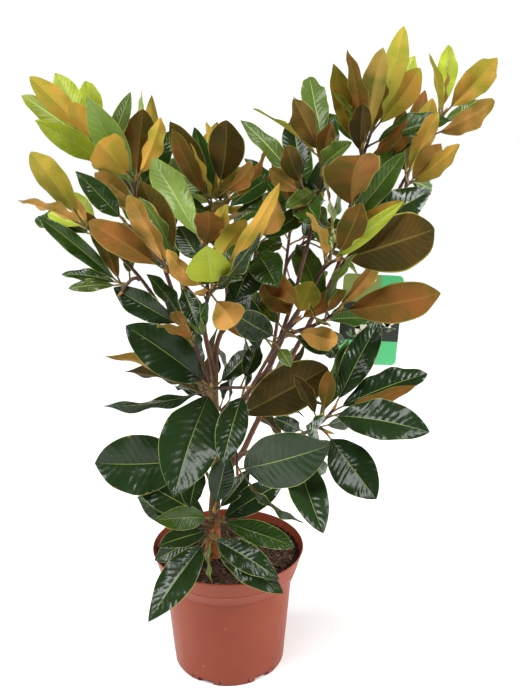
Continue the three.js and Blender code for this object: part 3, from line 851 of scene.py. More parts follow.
# ---------------------------------------------------------------- tones of leaf and their finishes
class Tone(Enum):
    """The colours of a leaf's two sides, from the newest flush to the oldest leaf."""

    LIME = "lime"
    PALE = "pale"
    GOLDEN = "golden"
    FRESH = "fresh"
    GREY = "grey"
    OLIVE = "olive"
    OCHRE = "ochre"
    CINNAMON = "cinnamon"
    BRONZE = "bronze"
    RUST = "rust"


LIME, PALE, GOLDEN, FRESH, GREY, OLIVE, OCHRE, CINNAMON, BRONZE, RUST = Tone


@dataclass(frozen=True)
class LeafDress:
    """The four finishes of a leaf: upper side, felt, midrib and edge."""

    top: LeafTop
    felt: LeafFelt
    rib: PlainGrowth
    edge: PlainGrowth

    def materials(self) -> list[bpy.types.Material]:
        """The materials in slot order: upper side, felt, midrib, edge."""
        return [self.top.made(), self.felt.made(), self.rib.made(), self.edge.made()]


OLD_RIB = PlainGrowth("midrib_yellow_green", "#75833a", "#5d6f2c", 0.45)
YOUNG_RIB = PlainGrowth("midrib_pale_green", "#a3b552", "#8aa443", 0.45)
OLD_EDGE = PlainGrowth("leaf_edge_straw", "#8c8f4a", "#6c7738", 0.5)
YOUNG_EDGE = PlainGrowth("leaf_edge_lime", "#a4b548", "#8ba03c", 0.5)

# tone, whether its rib and edge are young, then the values of its upper side and of its felt
DRESSES = {
    tone: LeafDress(
        LeafTop("leaf_top_" + tone.value, *top), LeafFelt("leaf_felt_" + tone.value, *felt),
        YOUNG_RIB if young else OLD_RIB, YOUNG_EDGE if young else OLD_EDGE)
    for tone, young, top, felt in (
        # the three newest tones are partly the young leaf's own lime and golden colour and partly painted
        # glow: light shining through a thin young leaf is put into its colours, as the leaf materials let no
        # light through
        (LIME, True, ("#8b991b", "#a5aa3e", 0.46, 0.2), ("#cdb547", "#d4c468", "#a5a436")),
        (PALE, True, ("#6d7818", "#878f2e", 0.44, 0.22), ("#b99f3c", "#c4b257", "#8e8a2a")),
        (GOLDEN, True, ("#6e8a24", "#8aa23e", 0.4, 0.24), ("#b88b38", "#ceb260", "#8f8228")),
        (FRESH, True, ("#718c39", "#97a65d", 0.32), ("#c4913c", "#ccac54", "#a09430")),
        (GREY, True, ("#4c5f28", "#6c7f42", 0.3), ("#a98a40", "#b5a056", "#7d7630")),
        (OLIVE, False, ("#394b11", "#576726", 0.3), ("#93701f", "#a08c38", "#6a6618")),
        (OCHRE, False, ("#2d450e", "#485e21", 0.28), ("#b58342", "#c49d5c", "#846a26")),
        (CINNAMON, False, ("#1f360c", "#364f1c", 0.26), ("#855222", "#a07438", "#5d4e18")),
        (BRONZE, False, ("#20380d", "#35511d", 0.26), ("#5f4012", "#8b7534", "#413c0c")),
        (RUST, False, ("#172810", "#2a3d20", 0.24), ("#46320a", "#76682a", "#322b06")),
    )
}


# ---------------------------------------------------------------- limbs
@dataclass(frozen=True)
class BoughSizes:
    """A bough: what it grows from, how far along that (0 to 1), its end radii and its bends."""

    name: str
    parent: str
    at: float
    foot: float
    tip: float
    bends: tuple


COMPOST_TOP = 208
TRUNK_LINE = ((-25, -25, COMPOST_TOP + AIR), (-22, -19, 290), (-17, -10, 400), (-20, -3, 480), (-19, 0, 532))
BOUGHS = (
    BoughSizes("bough_left_upper", "trunk", 0.81, 4.6, 3,
               ((-30, 8, 498), (-58, 30, 555), (-90, 50, 654), (-116, 45, 742))),
    BoughSizes("bough_left_middle", "bough_left_upper", 0.42, 3.4, 2.6, ((-86, 8, 596), (-104, -8, 640))),
    BoughSizes("bough_left_front", "trunk", 0.97, 4.6, 3,
               ((-33, -10, 597), (-36, -25, 640), (-58, -62, 684))),
    BoughSizes("bough_centre_front", "bough_left_front", 0.62, 3.4, 2.6, ((-28, -62, 652),)),
    BoughSizes("bough_centre", "trunk", 0.97, 4.6, 3, ((-14, 6, 575), (2, 12, 620), (0, 8, 700))),
    BoughSizes("bough_centre_right", "bough_centre", 0.4, 3.2, 2.5, ((26, -2, 640), (36, -14, 672))),
    BoughSizes("bough_right", "trunk", 0.6, 5, 3.2,
               ((39, -30, 508), (66, -42, 545), (98, -58, 619), (118, -66, 655))),
    BoughSizes("bough_right_inner", "bough_right", 0.62, 3.6, 2.8, ((104, -36, 650), (124, -28, 726))),
    BoughSizes("bough_right_low_front", "bough_right", 0.8, 3.2, 2.5, ((126, -76, 622),)),
    BoughSizes("bough_fork_right", "bough_right", 0.38, 3, 2.4, ((60, -72, 560), (74, -84, 590))),
    BoughSizes("bough_right_back", "trunk", 0.42, 5.4, 3.2,
               ((21, 20, 373), (47, 45, 418), (124, 80, 560), (186, 84, 690), (200, 55, 790))),
    BoughSizes("bough_far_right", "bough_right_back", 0.66, 3.8, 3,
               ((205, 84, 706), (243, 70, 742), (262, 58, 786))),
    BoughSizes("bough_right_low", "trunk", 0.5, 4.6, 3, ((2, -30, 388), (60, -58, 420), (118, -82, 452))),
    BoughSizes("bough_right_lowest", "bough_right_low", 0.45, 3.2, 2.5, ((66, -76, 410),)),
    BoughSizes("bough_back_left", "trunk", 0.66, 4.4, 2.8, ((-44, 40, 500), (-66, 82, 580), (-82, 108, 670))),
    BoughSizes("bough_back_right", "bough_right_back", 0.3, 4, 2.8, ((76, 110, 520), (92, 136, 620))),
    BoughSizes("bough_back_low", "trunk", 0.34, 4, 2.8, ((-10, 30, 350), (-4, 70, 392))),
)


@dataclass
class Limbs:
    """The trunk and the boughs, as tubes with the relief of their bark."""

    foot: float = 10.5
    fork: float = 6.4
    flare: float = 5.5
    flare_height: float = 26
    sides: int = 20
    pace: float = 2.4
    wrinkle: float = 0.03
    ridge: float = 0.035
    collar: float = 1.6
    collar_run: float = 9
    scar_gap: float = 24
    scar: float = 0.75
    unevenness: float = 0.12
    trunk_bark: Bark = Bark("bark_trunk_fissured", "#7d6238", "#4b3a20", "#b07a48", 0.8, 1.0)
    bough_bark: Bark = Bark("bark_bough_smooth", "#6e4730", "#3c271a", "#9c7450", 0.55, 0.35)
    lines: dict[str, Line] = field(default_factory=dict)

    def grow(self) -> None:
        """Works out every limb's curve from its parent's."""
        self.lines["trunk"] = Spline(list(TRUNK_LINE))
        for bough in BOUGHS:
            start = self.lines[bough.parent].point(bough.at)
            self.lines[bough.name] = Spline([start, *bough.bends])

    def trunk(self) -> bpy.types.Object:
        """The trunk: an even taper, a root flare that dies away upwards, and fissured bark.

        Radius: foot + (fork - foot) s + flare exp(-climb / flare height), times 1 plus a relief
        of upright ridges that bend with a slow noise.

        Returns:
            The trunk's piece.
        """
        line = self.lines["trunk"]
        rings = int(line.length / self.pace) + 1
        path = line.points(rings)
        share = np.linspace(0, 1, rings)[:, None]
        climb = share * (TRUNK_LINE[-1][2] - TRUNK_LINE[0][2])
        radius = self.foot + (self.fork - self.foot) * share + self.flare * np.exp(-climb / self.flare_height)
        angle = np.arange(2 * self.sides)[None] * TAU / (2 * self.sides)
        ripple = smooth_noise(np.cos(angle) * 5 + climb / 14, np.sin(angle) * 5, 301)
        ridge = 1 - np.abs(smooth_noise(np.cos(angle) * 9, np.sin(angle) * 9 + climb / 9, 302))
        radii = radius * (1 + self.wrinkle * ripple + self.ridge * ridge * (1 - 0.5 * share))
        made = tube(path, radii).piece("bark_trunk", [self.trunk_bark.made()])
        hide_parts("trunk")
        return made

    def bough(self, sizes: BoughSizes, key: int) -> bpy.types.Object:
        """One bough: a taper with a collar at its foot and a swollen scar at every few buds.

        Radius: foot + (tip - foot) s, plus a collar that dies away along its run, plus a bump
        at each scar and a slow noise round the tube.

        Args:
            sizes: the bough's named sizes.
            key: its number, for its own scars.

        Returns:
            The bough's piece.
        """
        line = self.lines[sizes.name]
        rings = max(8, int(line.length / self.pace))
        path = line.points(rings)
        share = np.linspace(0, 1, rings)[:, None]
        run = share * line.length
        angle = np.arange(self.sides)[None] * TAU / self.sides
        radius = sizes.foot + (sizes.tip - sizes.foot) * share
        radius = radius + self.collar * np.exp(-np.maximum(run - 5, 0) / self.collar_run)
        spacing = self.scar_gap + swing(5, key, 7)
        turn = np.radians(GOLDEN_ANGLE) * np.floor(run / spacing)
        near = np.exp(-(((run % spacing) - spacing / 2) ** 2) / 5)
        scar = near * (0.35 + 0.65 * np.maximum(np.cos(angle - turn), 0) ** 3)
        uneven = smooth_noise(np.cos(angle) * 4 + run / 8, np.sin(angle) * 4, 330 + key)
        radii = radius + self.scar * scar + self.unevenness * uneven
        made = tube(path, radii).piece("bark_" + sizes.name, [self.bough_bark.made()])
        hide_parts(sizes.name)
        return made

    def build(self) -> list[bpy.types.Object]:
        """Grows and dresses every limb."""
        self.grow()
        return [self.trunk(), *[self.bough(sizes, key) for key, sizes in enumerate(BOUGHS)]]


# ---------------------------------------------------------------- foliage: the source's rule
@dataclass(frozen=True)
class Shown:
    """A leaf of its own: heading, length, roll (0 upper side forward), breadth and tone."""

    azimuth: float
    rise: float
    length: float
    roll: float
    broad: float = 1
    tone: Tone | None = None


@dataclass(frozen=True)
class Row:
    """A shoot: tip, count and length of leaves, turn of its whorl, usual tone, leaves that stand out.

    A leaf that stands out is given by the values of `Shown`, in their order.
    """

    tip: tuple
    leaves: int
    length: float
    turn: float
    tone: Tone
    shown: tuple[tuple, ...] = ()


@dataclass(frozen=True)
class MassSizes:
    """A foliage mass: its limb, its shoots, and how far along the limb it starts."""

    name: str
    limb: str
    rows: tuple[Row, ...]
    at: float = 1


MASSES = (
    MassSizes("foliage_left_tip", "bough_left_upper", (
        Row((-206, 20, 899), 9, 115, 40, FRESH, (
            (228, 41, 130, 180, 0.78), (146, 54, 125, 0, 0.85, LIME), (109, 53, 120, 0, 0.95, LIME),
            (253, 42, 100, 175, 0.9), (162, 32, 160, 15, 0.6, PALE), (146, 19, 165, 30, 0.7),
            (50, 56, 130, 75, 0.5), (220, 29, 140, -10, 0.75, LIME), (95, 45, 115, 20, 0.7, GREY))),
        Row((-137, 20, 834), 9, 130, 100, FRESH, (
            (253, 28, 130, 180, 1.3), (328, 61, 114, 165, 0.85), (315, 76, 121, 180, 1.2, BRONZE),
            (238, 56, 169, 0, 0.8, FRESH), (65, 69, 164, 180, 0.57, GOLDEN), (15, 61, 122, 0, 0.92, CINNAMON),
            (240, 30, 113, 170, 0.78, OCHRE))))),
    MassSizes("foliage_left_middle", "bough_left_middle", (
        Row((-213, -30, 772), 6, 130, 10, OCHRE, (
            (246, 46, 155, 180, 0.75, PALE), (236, 22, 135, 115, 0.75), (148, 14, 90, 20, 0.8, LIME),
            (187, 57, 80, 150, 0.7), (142, 7, 150, 25, 0.85, CINNAMON), (126, 33, 120, 10, 0.7, PALE))),
        Row((-161, -10, 664), 4, 120, 70, CINNAMON, (
            (196, 68, 133, 180, 0.65, BRONZE), (180, 41, 170, 0, 0.5), (163, 5, 115, 30, 0.55),
            (95, 22, 80, 0, 0.8, OLIVE))))),
    MassSizes("foliage_left_front", "bough_left_front", (
        Row((-79, -110, 715), 7, 130, 20, CINNAMON, (
            (233, 31, 165, 180, 0.72), (247, 50, 155, 172, 0.8, OCHRE), (251, 59, 160, 180, 0.9, BRONZE),
            (252, 50, 158, 60, 0.44, OLIVE), (149, 32, 130, 10, 0.73))),
        Row((-145, -50, 777), 2, 125, 150, CINNAMON, (
            (232, 42, 120, 0, 0.8), (165, 44, 109, 20, 0.66, OLIVE))))),
    MassSizes("foliage_centre_front", "bough_centre_front", (
        Row((-12, -145, 698), 6, 115, 90, OCHRE, (
            (269, 47, 95, 0, 1.9, LIME), (13, 56, 176, 150, 0.48, GOLDEN), (233, 38, 112, 216, 0.89),
            (295, -18, 92, 180, 1.5, OCHRE), (297, 34, 195, 60, 0.38, RUST))),
        Row((-27, -90, 751), 7, 120, 30, CINNAMON, (
            (129, 42, 178, 5, 0.76, FRESH), (297, 41, 110, 180, 0.65, FRESH), (280, 41, 105, 180, 1.2),
            (271, 8, 96, 0, 1.15, RUST), (76, -12, 110, 0, 1.1, RUST), (125, 36, 95, 0, 1.16, RUST),
            (49, 41, 114, 180, 0.96, FRESH))))),
    MassSizes("foliage_centre_top", "bough_centre", (
        Row((-6, -20, 822), 9, 120, 30, OCHRE, (
            (280, 50, 135, 180, 1.15, RUST), (299, 26, 115, 160, 0.8, CINNAMON),
            (112, 61, 130, 160, 0.55, FRESH), (135, 23, 149, 10, 1.03, GREY),
            (320, 45, 130, 140, 0.5, CINNAMON), (51, 22, 120, 0, 0.9, CINNAMON))),
        Row((-26, 10, 804), 6, 130, 0, CINNAMON, (
            (238, 53, 150, 180, 0.8, BRONZE), (236, 53, 144, 165, 0.58), (157, 77, 125, 12, 0.73),
            (247, 55, 130, 110, 0.5, OLIVE))))),
    MassSizes("foliage_centre_right", "bough_centre_right", (
        Row((50, -40, 749), 8, 115, 60, CINNAMON, (
            (294, 41, 103, 156, 1.12, OCHRE), (45, 20, 130, -10, 0.75), (290, -23, 104, 0, 1.4),
            (300, -24, 130, 165, 0.8), (253, -28, 105, 0, 1.49, RUST),
            (301, -30, 118, 180, 0.95, CINNAMON))),)),
    MassSizes("foliage_right_inner", "bough_right_inner", (
        Row((149, -30, 880), 9, 120, 80, CINNAMON, (
            (98, 44, 160, 10, 0.72, GREY), (245, 34, 140, 180, 0.8, BRONZE), (216, 30, 146, 70, 0.46, PALE),
            (111, 42, 150, 95, 0.5, GREY), (285, 20, 130, -15, 0.75, OLIVE), (280, 54, 95, 180, 0.8),
            (73, 57, 118, 0, 0.8), (244, -8, 120, 20, 0.6, OLIVE))),
        Row((115, -50, 830), 7, 125, 0, CINNAMON, (
            (98, 50, 125, 0, 1, RUST), (251, 37, 110, 180, 0.85, BRONZE), (147, 42, 155, 10, 0.55, GREY),
            (227, 28, 95, 180, 0.8, OCHRE), (136, 31, 68, 0, 1.05, GREY))))),
    MassSizes("foliage_right_front", "bough_right", (
        Row((188, -70, 794), 7, 120, 20, CINNAMON, (
            (269, 36, 150, 180, 1.5), (51, 24, 115, -10, 0.9, OCHRE), (312, 19, 110, 180, 0.5, OLIVE),
            (42, 44, 150, 0, 1, OCHRE), (353, 53, 142, 10, 0.7, OCHRE), (25, 21, 168, 0, 0.91, RUST))),
        Row((165, -112, 731), 6, 125, 90, CINNAMON, (
            (283, 44, 130, 180, 0.85, BRONZE), (310, 20, 185, 180, 1.2, RUST), (320, 40, 146, 0, 0.43, LIME),
            (95, 55, 146, 75, 0.58, FRESH), (251, 36, 152, 120, 0.4, OCHRE),
            (96, 30, 182, 36, 0.57, GREY))))),
    MassSizes("foliage_right_low_front", "bough_right_low_front", (
        Row((170, -90, 651), 6, 130, 140, CINNAMON, (
            (322, 17, 172, 180, 0.95), (314, 50, 146, 145, 0.46, OCHRE), (104, 26, 190, 0, 0.66, OCHRE),
            (301, 57, 130, -60, 0.45, OLIVE))),)),
    MassSizes("foliage_fork_right", "bough_fork_right", (
        Row((108, -100, 637), 7, 115, 10, CINNAMON, (
            (340, 68, 70, 180, 1.74, OLIVE), (356, 35, 95, 204, 0.93), (307, 1, 105, 180, 0.95, OCHRE),
            (116, 13, 139, 20, 0.69, OLIVE), (32, -12, 120, 10, 0.7), (227, 31, 118, -12, 1.06, RUST),
            (289, -18, 62, 0, 0.95, OLIVE))),)),
    MassSizes("foliage_top", "bough_right_back", (
        Row((225, 0, 916), 8, 120, 0, OCHRE, (
            (283, 52, 165, 165, 0.6, LIME), (26, 56, 130, 5, 0.85, LIME), (303, 42, 133, 180, 0.84, FRESH),
            (272, 53, 145, 110, 0.4, CINNAMON), (224, 41, 110, 40, 0.55, PALE))),
        Row((209, -5, 883), 7, 125, 60, CINNAMON, (
            (275, 51, 173, 180, 0.57, GREY), (250, 51, 175, 138, 0.48), (229, 58, 149, 175, 0.68, OLIVE),
            (117, 61, 130, 0, 0.8, OLIVE), (263, 39, 130, 180, 0.76, RUST), (337, 33, 99, 150, 0.72, OCHRE),
            (312, 40, 117, 160, 0.52))))),
    MassSizes("foliage_far_right", "bough_far_right", (
        Row((341, 50, 933), 6, 120, 20, FRESH, (
            (289, 30, 150, 180, 0.8), (74, 60, 130, 0, 0.7, LIME), (247, 42, 140, 100, 0.45, PALE),
            (273, 63, 95, 100, 0.3, OCHRE), (27, 28, 100, -20, 0.55, OLIVE),
            (290, 17, 165, 160, 0.7, OCHRE))),
        Row((280, 20, 818), 8, 125, 75, OCHRE, (
            (306, 46, 97, 180, 1.05), (293, 27, 147, 141, 0.71, GOLDEN), (141, 84, 116, 180, 1.03, BRONZE),
            (11, 74, 130, 158, 0.92, GOLDEN), (278, 39, 164, 187, 0.5, GOLDEN), (44, -14, 80, -10, 0.8),
            (49, -14, 90, 0, 0.9, RUST), (54, 67, 150, 170, 0.6, CINNAMON))))),
    MassSizes("foliage_right_low", "bough_right_low", (
        Row((166, -110, 505), 7, 140, 10, RUST, (
            (42, 50, 160, 0, 0.85), (19, 15, 170, -30, 0.85), (321, 5, 170, -20, 1.0),
            (339, 27, 150, 150, 0.45, CINNAMON), (280, 72, 95, 170, 0.75, CINNAMON),
            (213, 61, 100, 150, 0.75), (30, 66, 145, 20, 0.6, OCHRE))),
        Row((156, -100, 465), 4, 140, 100, RUST, ((303, -27, 140, 0, 1.32),)))),
    MassSizes("foliage_right_lowest", "bough_right_lowest", (
        Row((114, -96, 440), 3, 140, 30, RUST, ((51, -42, 110, 0, 0.8), (282, -19, 175, 0, 0.87))),)),
    MassSizes("foliage_trunk_middle", "trunk", (
        Row((-21, -45, 519), 5, 140, 200, RUST, (
            (254, -33, 203, 0, 1.27), (179, 37, 167, 10, 1.25), (193, -5, 176, -55, 0.6),
            (59, 19, 115, 0, 0.85), (185, 20, 180, 150, 0.4, OCHRE))),
        Row((33, -62, 522), 2, 120, 300, RUST, ((255, -34, 140, 0, 0.95), (68, 39, 88, 0, 1))),
        Row((-60, -30, 611), 5, 115, 150, CINNAMON, (
            (165, 26, 136, -5, 0.92, RUST), (221, 54, 125, 50, 0.8), (250, 42, 78, 177, 0.76, OCHRE),
            (292, 45, 112, 0, 0.7)))), 0.88),
    MassSizes("foliage_trunk_low", "trunk", (
        Row((-43, -36, 392), 4, 130, 60, RUST, ((178, -3, 175, 10, 1.6), (264, -15, 110, 20, 1))),), 0.35),
    MassSizes("foliage_foot", "trunk", (
        Row((-20, -65, 310), 8, 120, 330, RUST, (
            (358, 78, 105, 0, 1.15), (60, 17, 120, 0, 0.7), (217, 15, 115, 15, 0.95, OCHRE),
            (349, -15, 140, -25, 0.8, CINNAMON), (175, 30, 155, 10, 1.05), (31, 17, 145, -10, 0.9))),
        Row((-34, -62, 258), 6, 140, 190, RUST, (
            (243, -17, 180, 5, 0.85), (321, -9, 150, -20, 0.85), (321, -19, 162, -5, 0.87),
            (190, -25, 107, 10, 1), (270, -40, 89, 60, 0.5, GREY)))), 0.1),
    MassSizes("foliage_back_left", "bough_back_left", (
        Row((-130, 120, 762), 9, 140, 15, CINNAMON), Row((-60, 150, 800), 9, 130, 140, OLIVE))),
    MassSizes("foliage_back_right", "bough_back_right", (
        Row((110, 150, 770), 9, 140, 25, CINNAMON), Row((180, 150, 740), 9, 135, 125, OCHRE))),
    MassSizes("foliage_back_low", "bough_back_low", (
        Row((-50, 120, 456), 8, 145, 45, RUST), Row((60, 130, 440), 9, 140, 95, RUST))),
    MassSizes("foliage_trunk_right", "trunk", (
        Row((12, -52, 465), 1, 130, 250, RUST, ((337, 34, 190, 180, 1.15, RUST),)),
        Row((20, -114, 404), 2, 130, 70, RUST, ((319, 27, 194, 0, 1.2), (316, -18, 145, 60, 0.6)))), 0.74),
)


# finer leaves inside the crown: the number of their shoot, then each with its place down the shoot
INNER_LEAVES = {
    0: ((5, Shown(5, 66, 105, 10, 0.7, GREY)),),
    11: ((2, Shown(168, -6, 100, 10, 0.6, OLIVE)),),
    20: ((6, Shown(294, -37, 90, 0, 0.9, RUST)), (7, Shown(330, -65, 82, 20, 0.8, OLIVE))),
    31: ((10, Shown(264, 27, 60, 180, 1.1, OCHRE)),),
    50: ((9, Shown(298, -72, 102, 10, 1.0, RUST)),),
    80: ((6, Shown(20, -50, 70, 0, 1.1, RUST)),),
    90: (
        (7, Shown(133, 35, 125, 0, 1.1, RUST)), (6, Shown(160, 20, 110, 180, 0.8, CINNAMON)),
        (3, Shown(342, -20, 75, 0, 1.0, RUST))),
    120: ((8, Shown(230, 31, 90, 0, 0.8, RUST)),),
    181: ((11, Shown(79, -58, 80, 0, 0.9, RUST)),),
}


@dataclass
class Leaf:
    """One leaf where it has grown: its place, directions and form."""

    root: np.ndarray
    joint: np.ndarray
    along: np.ndarray
    up: np.ndarray
    length: float
    broad: float
    fold: float
    bend: float
    tone: Tone
    keys: tuple[int, int]
    curl: float = 0
    twist: float = 0

    @property
    def tip(self) -> np.ndarray:
        """The leaf's far end."""
        return self.root + self.along * self.length


@dataclass
class Shoot:
    """One shoot of a mass: its curve, the chords that carry its leaves, its row and its own number."""

    line: Bow
    chords: Chords
    row: Row
    key: int


@dataclass
class LeafRule:
    """The source's seeded rule for where leaves stand, with its named sizes."""

    gap: float = 5.5
    fold: float = 0.24
    bend: float = 24
    opening: float = 26
    widening: float = 52
    turn_on: float = 47
    tries: int = 8
    tolerance: float = 0.25
    front: np.ndarray = field(default_factory=lambda: unit(np.array([0.0, -1.0, 0.25])))

    def shown(self, sizes: Shown, keys: tuple[int, int], attempt: int) -> dict:
        """A try at a leaf that stands out: its heading and roll, nudged more at each try.

        Args:
            sizes: the leaf's own sizes.
            keys: the shoot's and the leaf's number.
            attempt: which try.

        Returns:
            Heading, upper side, length and breadth.
        """
        nudge = 4 * attempt
        azimuth = sizes.azimuth + swing(nudge, *keys, attempt, 1)
        along = heading(azimuth, sizes.rise + swing(nudge, *keys, attempt, 2))
        up = turned_about(square_to(along, self.front), along, sizes.roll + swing(6, *keys, 4))
        return {"along": along, "up": up, "length": sizes.length * (1 - attempt * 0.02), "broad": sizes.broad}

    def whorl(self, row: Row, index: int, axis: np.ndarray, keys: tuple[int, int], attempt: int) -> dict:
        """A try at a leaf of the whorl: it opens more the lower it sits, and turns on at each try.

        Args:
            row: the shoot's sizes.
            index: the leaf's number from the tip down.
            axis: the shoot's direction at its tip.
            keys: the shoot's and the leaf's number.
            attempt: which try.

        Returns:
            Heading, upper side, length and breadth.
        """
        low = index / max(1, row.leaves - 1)
        tilt = math.radians(self.opening + self.widening * low + swing(8 + attempt * 3, *keys, attempt, 1))
        turned = row.turn + index * GOLDEN_ANGLE + attempt * self.turn_on
        turn = math.radians(turned + swing(14, *keys, attempt, 2))
        east = unit(np.cross(UP, axis))
        north = np.cross(axis, east)
        spread = east * math.cos(turn) + north * math.sin(turn)
        along = axis * math.cos(tilt) + spread * math.sin(tilt)
        up = turned_about(square_to(along, axis), along, swing(20, *keys, 4))
        length = row.length * (0.86 + 0.22 * chance(*keys, 3)) * (1 - attempt * 0.03)
        return {"along": along, "up": up, "length": length, "broad": 1 + swing(0.12, *keys, 5)}

    def attempt(self, shoot: Shoot, index: int, attempt: int, shown: Shown | None = None) -> Leaf:
        """One try at the leaf number `index` of a shoot.

        Args:
            shoot: the shoot.
            index: the leaf's number from the tip down.
            attempt: which try.
            shown: its own sizes, if it isn't a leaf of the whorl.

        Returns:
            The leaf as that try places it.
        """
        row, keys = shoot.row, (shoot.key, index)
        back = 3 + self.gap * index * (1 + index * 0.06)
        share = max(0.0, 1 - back / shoot.chords.length)
        root, joint = shoot.chords.point(share), shoot.line.point(share)
        axis = unit(shoot.line.direction(1) + np.array([0, 0, 0.4]))
        place = self.shown(shown, keys, attempt) if shown else self.whorl(row, index, axis, keys, attempt)
        form = {"fold": self.fold + swing(0.1, *keys, 6), "bend": self.bend + swing(14, *keys, 7)}
        if shown:
            form |= {"tone": shown.tone or row.tone}
        else:
            form |= {"tone": row.tone, "twist": swing(14, *keys, 8), "curl": swing(0.05, *keys, 9) + 0.03}
        return Leaf(root=root, joint=joint, keys=keys, **place, **form)

    def grown(self, shoot: Shoot, corners: np.ndarray) -> list[Leaf]:
        """The leaves of a shoot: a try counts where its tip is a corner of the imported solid.

        The finer leaves inside the crown stand between them, at their first try.

        Args:
            shoot: the shoot.
            corners: the solid's corners in millimetres.

        Returns:
            The leaves, in order down the shoot.
        """
        leaves = []
        shown = {index: Shown(*values) for index, values in enumerate(shoot.row.shown)}
        for index in range(shoot.row.leaves):
            tries = (self.attempt(shoot, index, attempt, shown.get(index)) for attempt in range(self.tries))
            found = next((leaf for leaf in tries if self.stands(leaf, corners)), None)
            if found is not None:
                leaves.append(found)
        finer = INNER_LEAVES.get(shoot.key, ())
        return leaves + [self.attempt(shoot, index, 0, inner) for index, inner in finer]

    def stands(self, leaf: Leaf, corners: np.ndarray) -> bool:
        """Whether the solid has a corner where this leaf's tip would be."""
        return bool((np.abs(corners - leaf.tip).max(axis=1) < self.tolerance).any())


